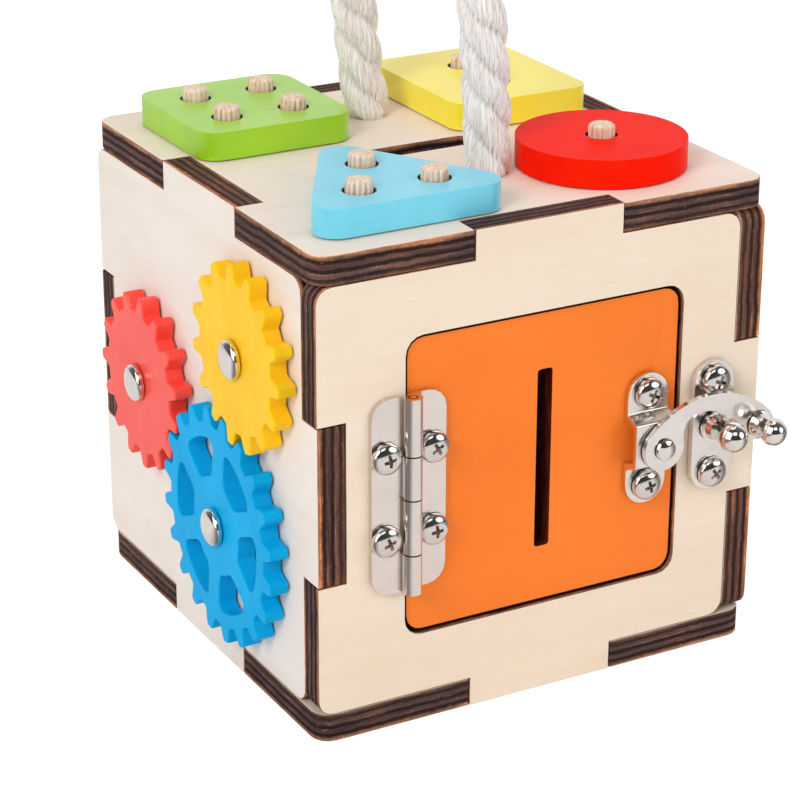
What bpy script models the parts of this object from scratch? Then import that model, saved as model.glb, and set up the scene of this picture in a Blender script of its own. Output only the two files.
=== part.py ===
"""Wooden activity cube: a finger-jointed plywood box with a latched door, meshed gears,
peg blocks on its top and a rope handle. Metres, +Z up, origin at the centre of the base,
door at the front (-Y) and gears at the left (-X)."""

import math

import bmesh
import bpy
from mathutils import Matrix, Vector

# Plywood box
CUBE_SIDE = 0.1000
PLY = 0.0058
FINGER_WIDTH = 0.0333
LID_CORNER_RADIUS = 0.0038
SIDE_CORNER_RADIUS = 0.0032
FIT_GAP = 0.0003
CUT_OVERRUN = 0.0010

# Door in the front panel
DOORWAY_MARGIN = 0.01875
DOORWAY_RADIUS = 0.0038
DOOR_CLEARANCE = 0.00075
DOOR_RADIUS = 0.0034
DOOR_RECESS = 0.0008
DOOR_SLOT_WIDTH = 0.0033
DOOR_SLOT_MARGIN = 0.01165

# Cross-head screws
SCREW_HEAD_RADIUS = 0.0032
SCREW_HEAD_HEIGHT = 0.0020
SCREW_HEAD_RIM = 0.0006
SCREW_SHANK_RADIUS = 0.0010
SCREW_LENGTH = 0.0050
RECESS_SPAN = 0.0034
RECESS_WIDTH = 0.0009
RECESS_DEPTH = 0.0010

# Butt hinge
HINGE_HEIGHT = 0.0406
HINGE_DROP = 0.0002
HINGE_INSET = 0.0004
LEAF_REACH = 0.00825
LEAF_THICKNESS = 0.0009
LEAF_RADIUS = 0.0040
BARREL_RADIUS = 0.0019
LEAF_SCREW_REACH = 0.00535
LEAF_SCREW_SPACING = 0.0172
KNUCKLE_BREAK_SHARES = (0.207, 0.490, 0.712)

# Latch plate on the door, with the bridge that carries the arm
LATCH_DROP = 0.0001
LATCH_PLATE_INSET = 0.00715
LATCH_PLATE_WIDTH = 0.0094
LATCH_PLATE_LENGTH = 0.0280
LATCH_PLATE_THICKNESS = 0.0010
LATCH_SCREW_SPACING = 0.0196
BRIDGE_TOP = 0.0039
BRIDGE_FOOT = 0.0058
BRIDGE_CROWN = 0.0047

# Latch arm, measured from its pivot
PIVOT_SHIFT = 0.00105
PIVOT_DROP = 0.00075
ARM_THICKNESS = 0.0012
EYE_RADIUS = 0.0046
ARM_END_X = 0.0228
ARM_END_RISE = 0.0009
ARM_END_RADIUS = 0.0035
ARM_ARC_RADIUS = 0.0195
HOOK_LEFT = 0.0044
HOOK_TOP = 0.00615
HOOK_RADIUS = 0.0036
HOOK_HEEL_RADIUS = 0.0008
HOOK_HEEL_ANGLE = math.radians(-146)
RIVET_HEAD_RADIUS = 0.0024
RIVET_HEAD_HEIGHT = 0.0011
RIVET_SHANK_RADIUS = 0.0012
RIVET_TAIL_RADIUS = 0.0020
RIVET_TAIL_HEIGHT = 0.0006

# Finger knob on the arm's end
KNOB_LENGTH = 0.0073
KNOB_BASE_RADIUS = 0.0030
KNOB_WAIST_RADIUS = 0.0023
KNOB_TIP_RADIUS = 0.00285
KNOB_SPIGOT_RADIUS = 0.0012

# Keeper plate and stud on the frame
KEEPER_OUTSET = 0.00715
KEEPER_LIFT = 0.0001
KEEPER_WIDTH = 0.0096
KEEPER_LENGTH = 0.0280
KEEPER_THICKNESS = 0.0014
KEEPER_SCREW_SPACING = 0.0200
STUD_FLANGE_RADIUS = 0.0032
STUD_FLANGE_HEIGHT = 0.0008
STUD_CONE_RADIUS = 0.0027
STUD_NECK_RADIUS = 0.0022
STUD_BALL_RADIUS = 0.0031
STUD_BALL_HEIGHT = 0.0087
STUD_SPIGOT_RADIUS = 0.0014

# Gears on the left panel, seen from outside: across to the right, up, and angles from the right
GEAR_THICKNESS = 0.0040
GEAR_RUNNING_GAP = 0.0004
DRIVER_TEETH = 20
FOLLOWER_TEETH = 15
PITCH_DISTANCE = 0.0406
TOOTH_HEIGHT = 0.0034
TOOTH_TIP_RADIUS = 0.0008
TOOTH_ROOT_RADIUS = 0.0008
TOOTH_TIP_CLEARANCE = 0.0004
FLANK_GAP = 0.0005
TOOTH_TIP_SHARE = 0.62
TOOTH_ROOT_SHARE = 1.40
DRIVER_ACROSS = 0.0139
DRIVER_DROP = 0.0170
DRIVER_PHASE = math.radians(8.1)
YELLOW_DIRECTION = math.radians(75.8)
RED_DIRECTION = math.radians(153.6)
WINDOW_COUNT = 6
WINDOW_PHASE = math.radians(53.5)
DRIVER_RIM_WIDTH = 0.0031
DRIVER_HUB_RADIUS = 0.0102
WINDOW_CORNER_RADIUS = 0.0010
SPOKE_WIDTH = 0.0050

# Gear axles and their nuts
AXLE_RADIUS = 0.0020
AXLE_HEAD_RADIUS = 0.0039
AXLE_HEAD_HEIGHT = 0.0020
AXLE_HEAD_RIM = 0.0008
AXLE_TAIL = 0.0010
NUT_ACROSS = 0.0070
NUT_THICKNESS = 0.0030

# Pegs and blocks on the top panel; margins run to the panel's edges and to its two middle lines
PEG_RADIUS = 0.0027
PEG_CHAMFER = 0.0006
PEG_RISE = 0.0085
BLOCK_THICKNESS = 0.0058
BLOCK_EDGE = 0.0005
BLOCK_HOLE_RADIUS = 0.0032
SQUARE_LEFT_MARGIN = 0.00615
SQUARE_MIDDLE_MARGIN = 0.00955
SQUARE_BACK_MARGIN = 0.00605
SQUARE_RADIUS = 0.0050
SQUARE_PEG_SPACING = 0.0150
TRIANGLE_LEFT_MARGIN = 0.0054
TRIANGLE_MIDDLE_MARGIN = 0.0054
TRIANGLE_FRONT_MARGIN = 0.00624
TRIANGLE_RADIUS = 0.0046
TRIANGLE_PEG_SPACING = 0.0162
RECTANGLE_RIGHT_MARGIN = 0.00695
RECTANGLE_MIDDLE_MARGIN = 0.01075
RECTANGLE_BACK_MARGIN = 0.0078
RECTANGLE_NEAR_MARGIN = 0.0038
RECTANGLE_RADIUS = 0.0040
RECTANGLE_PEG_SPACING = 0.0133
DISC_RIGHT_MARGIN = 0.0070
DISC_MIDDLE_MARGIN = 0.0086
DISC_FRONT_MARGIN = 0.0058
COIN_SLOT_LENGTH = 0.0220
COIN_SLOT_WIDTH = 0.0060
COIN_SLOT_RADIUS = 0.0006

# Rope handle, with its route measured from the top panel's upper face
ROPE_RADIUS = 0.0047
ROPE_HOLE_ROPE_RADIUS = 0.0036
ROPE_SWELL_LENGTH = 0.0060
ROPE_POINT_STEP = 0.0090
ROPE_ROUTE = (
    (0.0031, -0.0210, -0.0058),
    (0.0031, -0.0210, 0.0000),
    (0.0027, -0.0212, 0.0120),
    (0.0013, -0.0215, 0.0300),
    (-0.0007, -0.0207, 0.0480),
    (-0.0027, -0.0143, 0.0628),
    (-0.0039, 0.0020, 0.0700),
    (-0.0041, 0.0184, 0.0630),
    (-0.0033, 0.0249, 0.0480),
    (-0.0022, 0.0256, 0.0300),
    (-0.0006, 0.0253, 0.0120),
    (0.0011, 0.0250, 0.0000),
    (0.0011, 0.0250, -0.0058),
)
KNOT_RADIUS = 0.0115
KNOT_HEIGHT = 0.0180

# Facets
CORNER_STEPS = 4
SMALL_CORNER_STEPS = 2
HOLE_SIDES = 12
TURNED_SIDES = 16
DISC_SIDES = 48
ROPE_BEVEL_RESOLUTION = 3
WELD_DISTANCE = 0.00001
SHARP_ANGLE = math.radians(35)
EASED_ANGLE = math.radians(60)
KNOT_RINGS = 8
BALL_RINGS = 8

# Worked out from the sizes above
HALF = CUBE_SIDE / 2
MIDDLE = CUBE_SIDE / 2
DOORWAY_SIDE = CUBE_SIDE - 2 * DOORWAY_MARGIN
DOOR_SIDE = DOORWAY_SIDE - 2 * DOOR_CLEARANCE
DOOR_SLOT_HEIGHT = DOOR_SIDE - 2 * DOOR_SLOT_MARGIN
DOOR_FACE = -DOOR_RECESS
HINGE_X = HINGE_INSET - DOORWAY_SIDE / 2
HINGE_LIFT = BARREL_RADIUS + FIT_GAP
HINGE_CENTRE_RISE = MIDDLE - HINGE_DROP
HINGE_FOOT = HINGE_CENTRE_RISE - HINGE_HEIGHT / 2
PIN_RADIUS = BARREL_RADIUS - LEAF_THICKNESS - FIT_GAP
LATCH_RISE = MIDDLE - LATCH_DROP
LATCH_PLATE_X = DOOR_SIDE / 2 - LATCH_PLATE_INSET
PIVOT_X = LATCH_PLATE_X + PIVOT_SHIFT
PIVOT_RISE = LATCH_RISE - PIVOT_DROP
KEEPER_X = DOORWAY_SIDE / 2 + KEEPER_OUTSET
KEEPER_RISE = MIDDLE + KEEPER_LIFT
ARM_UNDERSIDE = BRIDGE_TOP + FIT_GAP
ARM_TOP = ARM_UNDERSIDE + ARM_THICKNESS
DRIVER_PITCH_RADIUS = PITCH_DISTANCE * DRIVER_TEETH / (DRIVER_TEETH + FOLLOWER_TEETH)
FOLLOWER_PITCH_RADIUS = PITCH_DISTANCE - DRIVER_PITCH_RADIUS
TOOTH_REACH = (TOOTH_HEIGHT - TOOTH_TIP_CLEARANCE) / 2
WINDOW_OUTER_RADIUS = DRIVER_PITCH_RADIUS + TOOTH_REACH - TOOTH_HEIGHT - DRIVER_RIM_WIDTH
GEAR_OUTER = GEAR_RUNNING_GAP + GEAR_THICKNESS
DRIVER_RISE = MIDDLE - DRIVER_DROP
SQUARE_SIDE = HALF - SQUARE_LEFT_MARGIN - SQUARE_MIDDLE_MARGIN
SQUARE_PLACE = (-SQUARE_MIDDLE_MARGIN - SQUARE_SIDE / 2, HALF - SQUARE_BACK_MARGIN - SQUARE_SIDE / 2)
TRIANGLE_WIDTH = HALF - TRIANGLE_LEFT_MARGIN - TRIANGLE_MIDDLE_MARGIN
TRIANGLE_REACH = (TRIANGLE_WIDTH - 2 * TRIANGLE_RADIUS) / math.sqrt(3) + 2 * TRIANGLE_RADIUS
TRIANGLE_PLACE = (
    -TRIANGLE_MIDDLE_MARGIN - TRIANGLE_WIDTH / 2,
    TRIANGLE_REACH / 2 + TRIANGLE_FRONT_MARGIN - HALF,
)
RECTANGLE_WIDTH = HALF - RECTANGLE_RIGHT_MARGIN - RECTANGLE_MIDDLE_MARGIN
RECTANGLE_DEPTH = HALF - RECTANGLE_BACK_MARGIN - RECTANGLE_NEAR_MARGIN
RECTANGLE_PLACE = (
    RECTANGLE_MIDDLE_MARGIN + RECTANGLE_WIDTH / 2,
    RECTANGLE_NEAR_MARGIN + RECTANGLE_DEPTH / 2,
)
DISC_RADIUS = (HALF - DISC_RIGHT_MARGIN - DISC_MIDDLE_MARGIN) / 2
DISC_PLACE = (DISC_MIDDLE_MARGIN + DISC_RADIUS, DISC_FRONT_MARGIN + DISC_RADIUS - HALF)
FRONT_TURN = (math.pi / 2, 0, 0)
LEFT_TURN = (math.pi / 2, 0, -math.pi / 2)


def clear_scene():
    for old in list(bpy.data.objects):
        bpy.data.objects.remove(old)


def new_collection(name):
    group = bpy.data.collections.new(name)
    bpy.context.scene.collection.children.link(group)
    return group


def linear(channel):
    if channel <= 0.04045:
        return channel / 12.92
    return ((channel + 0.055) / 1.055) ** 2.4


def new_material(name, colour, roughness, metallic=0.0):
    """A plain surface; the colour is a six-digit sRGB value."""
    channels = [int(colour[place:place + 2], 16) / 255 for place in (0, 2, 4)]
    material = bpy.data.materials.new(name)
    material.use_nodes = True
    shader = material.node_tree.nodes["Principled BSDF"]
    shader.inputs["Base Color"].default_value = (*[linear(value) for value in channels], 1)
    shader.inputs["Roughness"].default_value = roughness
    shader.inputs["Metallic"].default_value = metallic
    return material


def arc(centre_x, centre_y, radius, start, end, steps):
    """Points from the start angle to the end angle, both included."""
    points = []
    for step in range(steps + 1):
        angle = start + (end - start) * step / steps
        points.append((centre_x + radius * math.cos(angle), centre_y + radius * math.sin(angle)))
    return points


def circle(centre_x, centre_y, radius, sides=HOLE_SIDES):
    return arc(centre_x, centre_y, radius, 0, 2 * math.pi, sides)[:-1]


def rounded(corners, steps=CORNER_STEPS):
    """Outline through (x, y, radius) corners, each rounded by its radius."""
    points = []
    for index, (x, y, radius) in enumerate(corners):
        corner = Vector((x, y))
        if radius == 0:
            points.append((x, y))
            continue
        back = (Vector(corners[index - 1][:2]) - corner).normalized()
        ahead = (Vector(corners[(index + 1) % len(corners)][:2]) - corner).normalized()
        half_angle = back.angle(ahead) / 2
        centre = corner + (back + ahead).normalized() * radius / math.sin(half_angle)
        start = corner + back * radius / math.tan(half_angle) - centre
        turn = start.angle_signed(corner + ahead * radius / math.tan(half_angle) - centre)
        for step in range(steps + 1):
            spoke = start.copy()
            spoke.rotate(Matrix.Rotation(-turn * step / steps, 2))
            points.append(tuple(centre + spoke))
    return points


def rounded_box(centre_x, centre_y, width, height, radius, steps=CORNER_STEPS):
    left = centre_x - width / 2
    right = centre_x + width / 2
    low = centre_y - height / 2
    high = centre_y + height / 2
    corners = ((left, low, radius), (right, low, radius), (right, high, radius), (left, high, radius))
    return rounded(corners, steps)


def stadium(centre_x, centre_y, width, length, steps):
    """Upright strip with half-round ends."""
    radius = width / 2
    reach = length / 2 - radius
    top = arc(centre_x, centre_y + reach, radius, 0, math.pi, steps)
    bottom = arc(centre_x, centre_y - reach, radius, math.pi, 2 * math.pi, steps)
    return top + bottom


def weld(mesh):
    """Joins loose caps and points the faces outward."""
    shape = bmesh.new()
    shape.from_mesh(mesh)
    bmesh.ops.remove_doubles(shape, verts=shape.verts, dist=WELD_DISTANCE)
    bmesh.ops.recalc_face_normals(shape, faces=shape.faces)
    shape.to_mesh(mesh)
    shape.free()
    mesh.shade_smooth()
    mesh.set_sharp_from_angle(angle=SHARP_ANGLE)
    return mesh


def read_mesh(source):
    """The source object's evaluated mesh, welded; the source is removed."""
    bpy.context.scene.collection.objects.link(source)
    bpy.context.view_layer.update()
    graph = bpy.context.evaluated_depsgraph_get()
    mesh = bpy.data.meshes.new_from_object(source.evaluated_get(graph))
    bpy.data.objects.remove(source)
    return weld(mesh)


def plate_mesh(name, outlines, thickness):
    """Flat piece from z = 0 to its thickness: the outer outline first, then its holes."""
    curve = bpy.data.curves.new(name, "CURVE")
    curve.dimensions = "2D"
    curve.fill_mode = "BOTH"
    curve.extrude = thickness / 2
    for outline in outlines:
        spline = curve.splines.new("POLY")
        spline.points.add(len(outline) - 1)
        for point, (x, y) in zip(spline.points, outline):
            point.co = (x, y, 0, 1)
        spline.use_cyclic_u = True
    mesh = read_mesh(bpy.data.objects.new(name, curve))
    mesh.transform(Matrix.Translation((0, 0, thickness / 2)))
    return mesh


def turned_mesh(name, profile, sides=TURNED_SIDES):
    """Turned piece about Z: (radius, height) points from its top down its outer side."""
    mesh = bpy.data.meshes.new(name)
    points = [(radius, 0, height) for radius, height in profile]
    mesh.from_pydata(points, [(index, index + 1) for index in range(len(points) - 1)], [])
    source = bpy.data.objects.new(name, mesh)
    screw = source.modifiers.new("Turn", "SCREW")
    screw.steps = sides
    screw.render_steps = sides
    screw.use_merge_vertices = True
    screw.merge_threshold = WELD_DISTANCE
    return read_mesh(source)


def dome(radius, rim_height, height, steps=3):
    """Profile of a domed head from its crown down to the foot of its rim, with its foot at 0."""
    rise = height - rim_height
    points = []
    for step in range(steps + 1):
        angle = math.pi / 2 * (1 - step / steps)
        points.append((radius * math.cos(angle), rim_height + rise * math.sin(angle)))
    points[0] = (0, height)
    points.append((radius, 0))
    return points


def cut_mesh(name, mesh, cutter_mesh, operation):
    """The mesh after one exact Boolean with the cutter."""
    source = bpy.data.objects.new(name, mesh)
    cutter = bpy.data.objects.new(name + "_cutter", cutter_mesh)
    bpy.context.scene.collection.objects.link(cutter)
    boolean = source.modifiers.new("Cut", "BOOLEAN")
    boolean.operation = operation
    boolean.solver = "EXACT"
    boolean.object = cutter
    result = read_mesh(source)
    bpy.data.objects.remove(cutter)
    return result


class Assembly:
    """Places the named parts, their cutters and the empties on the joint axes."""

    def __init__(self, name):
        self.parts = new_collection(name)
        self.cutters = new_collection("cutters")
        self.axes = {}

    def axis(self, name, place, parent=None):
        empty = bpy.data.objects.new(name, None)
        self.parts.objects.link(empty)
        self.axes[name] = Vector(place)
        empty.location = place
        if parent:
            empty.parent = self.parts.objects[parent]
            empty.location = Vector(place) - self.axes[parent]

    def add(self, name, mesh, material, place=(0, 0, 0), turn=(0, 0, 0), axis=None):
        """Adds one part at a world place, carried by the empty of its joint if it has one."""
        mesh = mesh.copy()
        mesh.name = name
        mesh.materials.clear()
        mesh.materials.append(material)
        part = bpy.data.objects.new(name, mesh)
        self.parts.objects.link(part)
        part.location = place
        part.rotation_euler = turn
        if axis:
            part.parent = self.parts.objects[axis]
            part.location = Vector(place) - self.axes[axis]
        return part

    def drill(self, part, place, turn, radius, depth):
        """Round blind hole: its mouth at the place, its depth against the turned Z."""
        shape = bmesh.new()
        bmesh.ops.create_cone(shape, cap_ends=True, segments=HOLE_SIDES, radius1=radius,
                              radius2=radius, depth=depth + CUT_OVERRUN)
        mesh = bpy.data.meshes.new(part.name + "_hole")
        bmesh.ops.translate(shape, verts=shape.verts, vec=(0, 0, (CUT_OVERRUN - depth) / 2))
        shape.to_mesh(mesh)
        shape.free()
        cutter = bpy.data.objects.new(part.name + "_hole", mesh)
        cutter.location = place
        cutter.rotation_euler = turn
        cutter.display_type = "WIRE"
        cutter.hide_render = True
        self.cutters.objects.link(cutter)
        boolean = part.modifiers.new("Hole", "BOOLEAN")
        boolean.operation = "DIFFERENCE"
        boolean.solver = "MANIFOLD"
        boolean.object = cutter


def on_front(across, rise, height):
    """World place on the front face, at a height outside it."""
    return Vector((across, -HALF - height, rise))


def on_left(across, rise, height):
    """World place on the left face: across runs to the right as seen from outside."""
    return Vector((-HALF - height, -across, rise))


def side_outline():
    """One wall seen from outside: a notch at its left edge, tabs at right, top and bottom."""
    tab = FINGER_WIDTH / 2 - FIT_GAP
    notch = FINGER_WIDTH / 2
    left = -HALF
    notch_floor = left + PLY + FIT_GAP
    right = HALF - PLY - FIT_GAP
    low = PLY + FIT_GAP
    high = CUBE_SIDE - PLY - FIT_GAP
    corner = SIDE_CORNER_RADIUS
    return rounded((
        (left, low, corner),
        (-tab, low, 0),
        (-tab, 0, 0),
        (tab, 0, 0),
        (tab, low, 0),
        (right, low, corner),
        (right, MIDDLE - tab, 0),
        (HALF, MIDDLE - tab, 0),
        (HALF, MIDDLE + tab, 0),
        (right, MIDDLE + tab, 0),
        (right, high, corner),
        (tab, high, 0),
        (tab, CUBE_SIDE, 0),
        (-tab, CUBE_SIDE, 0),
        (-tab, high, 0),
        (left, high, corner),
        (left, MIDDLE + notch, 0),
        (notch_floor, MIDDLE + notch, 0),
        (notch_floor, MIDDLE - notch, 0),
        (left, MIDDLE - notch, 0),
    ))


def lid_outline():
    """Square with rounded corners and one notch in the middle of each edge."""
    notch = FINGER_WIDTH / 2
    floor = HALF - PLY - FIT_GAP
    edge = (
        (-HALF, -HALF, LID_CORNER_RADIUS),
        (-notch, -HALF, 0),
        (-notch, -floor, 0),
        (notch, -floor, 0),
        (notch, -HALF, 0),
    )
    corners = []
    for quarter in range(4):
        turn = Matrix.Rotation(quarter * math.pi / 2, 2)
        for x, y, radius in edge:
            corner = turn @ Vector((x, y))
            corners.append((corner.x, corner.y, radius))
    return rounded(corners)


def peg_groups():
    """Peg places of each block, measured from the block's own middle."""
    shift = SQUARE_PEG_SPACING / 2
    square = ((-shift, -shift), (shift, -shift), (shift, shift), (-shift, shift))
    ring = TRIANGLE_PEG_SPACING / math.sqrt(3)
    triangle = arc(0, 0, ring, math.pi / 2, math.pi / 2 + 2 * math.pi, 3)[:-1]
    row = RECTANGLE_PEG_SPACING / 2
    return {
        "green_square": (SQUARE_PLACE, square),
        "blue_triangle": (TRIANGLE_PLACE, triangle),
        "yellow_rectangle": (RECTANGLE_PLACE, ((0, -row), (0, row))),
        "red_disc": (DISC_PLACE, ((0, 0),)),
    }


def make_box(cube, materials):
    ply = materials["plywood"]
    floor_mesh = plate_mesh("floor", [lid_outline()], PLY)
    cube.add("bottom_panel", floor_mesh, ply)

    holes = [rounded_box(0, 0, COIN_SLOT_LENGTH, COIN_SLOT_WIDTH, COIN_SLOT_RADIUS, SMALL_CORNER_STEPS)]
    for place, pegs in peg_groups().values():
        for x, y in pegs:
            holes.append(circle(place[0] + x, place[1] + y, PEG_RADIUS + FIT_GAP))
    for end in (ROPE_ROUTE[0], ROPE_ROUTE[-1]):
        holes.append(circle(end[0], end[1], ROPE_HOLE_ROPE_RADIUS + FIT_GAP))
    top_mesh = plate_mesh("top", [lid_outline()] + holes, PLY)
    cube.add("top_panel", top_mesh, ply, (0, 0, CUBE_SIDE - PLY))

    doorway = rounded_box(0, MIDDLE, DOORWAY_SIDE, DOORWAY_SIDE, DOORWAY_RADIUS)
    axle_holes = [circle(x, y, AXLE_RADIUS + FIT_GAP) for x, y in gear_centres().values()]
    walls = (
        ("front_panel", 0, [doorway]),
        ("left_panel", -math.pi / 2, axle_holes),
        ("back_panel", math.pi, []),
        ("right_panel", math.pi / 2, []),
    )
    for name, turn, holes in walls:
        mesh = plate_mesh(name, [side_outline()] + holes, PLY)
        place = Matrix.Rotation(turn, 3, "Z") @ Vector((0, PLY - HALF, 0))
        cube.add(name, mesh, ply, place, (math.pi / 2, 0, turn))


def screw_mesh():
    """Pan-head screw with its head's underside at z = 0 and its shank below."""
    profile = dome(SCREW_HEAD_RADIUS, SCREW_HEAD_RIM, SCREW_HEAD_HEIGHT)
    tip = -SCREW_LENGTH
    profile += [(SCREW_SHANK_RADIUS, 0), (SCREW_SHANK_RADIUS, tip + SCREW_SHANK_RADIUS), (0, tip)]
    body = turned_mesh("screw", profile, HOLE_SIDES)
    span = RECESS_SPAN / 2
    width = RECESS_WIDTH / 2
    corner = ((span, -width), (span, width), (width, width))
    cross = []
    for quarter in range(4):
        turn = Matrix.Rotation(quarter * math.pi / 2, 2)
        cross += [tuple(turn @ Vector(point)) for point in corner]
    cutter = plate_mesh("recess", [cross], RECESS_DEPTH + CUT_OVERRUN)
    cutter.transform(Matrix.Translation((0, 0, SCREW_HEAD_HEIGHT - RECESS_DEPTH)))
    return cut_mesh("screw", body, cutter, "DIFFERENCE")


def add_screw(cube, name, mesh, materials, across, rise, seat, wood, wood_face, axis=None):
    """Screw whose head sits on a plate's top at the seat height, in a blind hole in the wood."""
    seat = seat + FIT_GAP
    cube.add(name, mesh, materials["screw_steel"], on_front(across, rise, seat), FRONT_TURN, axis)
    depth = SCREW_LENGTH - (seat - wood_face) + FIT_GAP
    mouth = on_front(across, rise, wood_face)
    cube.drill(cube.parts.objects[wood], mouth, FRONT_TURN, SCREW_SHANK_RADIUS + FIT_GAP, depth)


def leaf_mesh(name, side, under, knuckles):
    """Hinge leaf with curled knuckles, drawn from the pin's axis.

    side is 1 where the leaf lies to the right, under is how far its underside lies below the
    axis, and knuckles are its own (low, high) stretches along the pin.
    """
    ramp = BARREL_RADIUS + LEAF_THICKNESS
    upper = under - LEAF_THICKNESS
    take_off = -math.asin((BARREL_RADIUS - LEAF_THICKNESS) / BARREL_RADIUS)
    curl = arc(0, 0, BARREL_RADIUS, -math.pi / 2, take_off - 2 * math.pi, TURNED_SIDES)
    end = LEAF_REACH + CUT_OVERRUN
    section = [(end, -upper), (end, -under), (ramp, -under)] + curl + [(ramp, -upper)]
    bore = circle(0, 0, PIN_RADIUS + FIT_GAP)
    sections = [[(side * x, y) for x, y in outline] for outline in (section, bore)]
    bar = plate_mesh(name, sections, HINGE_HEIGHT + 2 * CUT_OVERRUN)
    bar.transform(Matrix.Translation((0, 0, -CUT_OVERRUN)))

    barrel = BARREL_RADIUS + FIT_GAP
    corners = [(LEAF_REACH, 0, LEAF_RADIUS), (LEAF_REACH, HINGE_HEIGHT, LEAF_RADIUS)]
    edge = HINGE_HEIGHT
    for low, high in reversed(knuckles):
        if high < edge:
            corners += [(barrel, edge, 0), (barrel, high, 0)]
        corners += [(-barrel, high, 0), (-barrel, low, 0)]
        edge = low
    if edge > 0:
        corners += [(barrel, edge, 0), (barrel, 0, 0)]
    middle = HINGE_HEIGHT / 2
    shift = LEAF_SCREW_SPACING / 2
    outlines = [rounded(corners)]
    for rise in (middle - shift, middle + shift):
        outlines.append(circle(LEAF_SCREW_REACH, rise, SCREW_SHANK_RADIUS + FIT_GAP))
    outlines = [[(side * x, y) for x, y in outline] for outline in outlines]
    depth = under + BARREL_RADIUS + 2 * CUT_OVERRUN
    face = plate_mesh(name + "_face", outlines, depth)
    face.transform(Matrix.Translation((0, 0, -under - CUT_OVERRUN)))
    face.transform(Matrix.Rotation(math.pi / 2, 4, "X"))
    bar.transform(Matrix.Scale(-1, 4, (0, 1, 0)))
    weld(bar)
    return cut_mesh(name, bar, face, "INTERSECT")


def make_hinge(cube, materials):
    steel = materials["hinge_steel"]
    breaks = [0] + [share * HINGE_HEIGHT for share in KNUCKLE_BREAK_SHARES] + [HINGE_HEIGHT]
    clear = FIT_GAP / 2
    stretches = []
    for low, high in zip(breaks, breaks[1:]):
        low_end = low + clear if low > 0 else low
        high_end = high - clear if high < HINGE_HEIGHT else high
        stretches.append((low_end, high_end))
    foot = on_front(HINGE_X, HINGE_FOOT, HINGE_LIFT)
    frame_leaf = leaf_mesh("frame_leaf", -1, BARREL_RADIUS, stretches[0::2])
    cube.add("hinge_frame_leaf", frame_leaf, steel, foot)
    door_leaf = leaf_mesh("door_leaf", 1, BARREL_RADIUS + DOOR_RECESS, stretches[1::2])
    cube.add("hinge_door_leaf", door_leaf, steel, foot, axis="door_hinge")
    pin = turned_mesh("pin", ((0, HINGE_HEIGHT), (PIN_RADIUS, HINGE_HEIGHT), (PIN_RADIUS, 0), (0, 0)))
    cube.add("hinge_pin", pin, steel, foot)

    screw = screw_mesh()
    leaf_top = FIT_GAP + LEAF_THICKNESS
    for level, sign in (("lower", -1), ("upper", 1)):
        rise = HINGE_CENTRE_RISE + sign * LEAF_SCREW_SPACING / 2
        across = HINGE_X - LEAF_SCREW_REACH
        add_screw(cube, f"hinge_frame_screw_{level}", screw, materials, across, rise,
                  leaf_top, "front_panel", 0)
        across = HINGE_X + LEAF_SCREW_REACH
        add_screw(cube, f"hinge_door_screw_{level}", screw, materials, across, rise,
                  DOOR_FACE + leaf_top, "door_panel", DOOR_FACE, "door_hinge")


def make_door(cube, materials):
    cube.axis("door_hinge", on_front(HINGE_X, HINGE_CENTRE_RISE, HINGE_LIFT))
    outline = rounded_box(0, 0, DOOR_SIDE, DOOR_SIDE, DOOR_RADIUS)
    slot = rounded_box(0, 0, DOOR_SLOT_WIDTH, DOOR_SLOT_HEIGHT, COIN_SLOT_RADIUS, SMALL_CORNER_STEPS)
    mesh = plate_mesh("door", [outline, slot], PLY)
    place = on_front(0, MIDDLE, DOOR_FACE - PLY)
    cube.add("door_panel", mesh, materials["orange_paint"], place, FRONT_TURN, "door_hinge")


def latch_plate_mesh():
    """Strip with half-round ends whose middle is raised as a bridge; its z is the height
    above the front face."""
    under = DOOR_FACE + FIT_GAP
    upper = under + LATCH_PLATE_THICKNESS
    end = LATCH_PLATE_LENGTH / 2 + CUT_OVERRUN
    inner_foot = BRIDGE_FOOT - LATCH_PLATE_THICKNESS
    inner_crown = BRIDGE_CROWN - LATCH_PLATE_THICKNESS
    bend = LATCH_PLATE_THICKNESS / 2
    section = rounded((
        (-end, under, 0),
        (-inner_foot, under, 0),
        (-inner_crown, BRIDGE_TOP - LATCH_PLATE_THICKNESS, 0),
        (inner_crown, BRIDGE_TOP - LATCH_PLATE_THICKNESS, 0),
        (inner_foot, under, 0),
        (end, under, 0),
        (end, upper, 0),
        (BRIDGE_FOOT, upper, bend),
        (BRIDGE_CROWN, BRIDGE_TOP, bend),
        (-BRIDGE_CROWN, BRIDGE_TOP, bend),
        (-BRIDGE_FOOT, upper, bend),
        (-end, upper, 0),
    ), SMALL_CORNER_STEPS)
    width = LATCH_PLATE_WIDTH + 2 * CUT_OVERRUN
    strip = plate_mesh("strip", [section], width)
    strip.transform(Matrix.Translation((0, 0, -width / 2)))
    strip.transform(Matrix(((0, 0, 1, 0), (1, 0, 0, 0), (0, 1, 0, 0), (0, 0, 0, 1))))

    hole = SCREW_SHANK_RADIUS + FIT_GAP
    shift = LATCH_SCREW_SPACING / 2
    outlines = [
        stadium(0, 0, LATCH_PLATE_WIDTH, LATCH_PLATE_LENGTH, HOLE_SIDES),
        circle(0, shift, hole),
        circle(0, -shift, hole),
        circle(PIVOT_X - LATCH_PLATE_X, PIVOT_RISE - LATCH_RISE, RIVET_SHANK_RADIUS + FIT_GAP),
    ]
    depth = BRIDGE_TOP - under + 2 * CUT_OVERRUN
    face = plate_mesh("face", outlines, depth)
    face.transform(Matrix.Translation((0, 0, under - CUT_OVERRUN)))
    return cut_mesh("latch_plate", strip, face, "INTERSECT")


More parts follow.
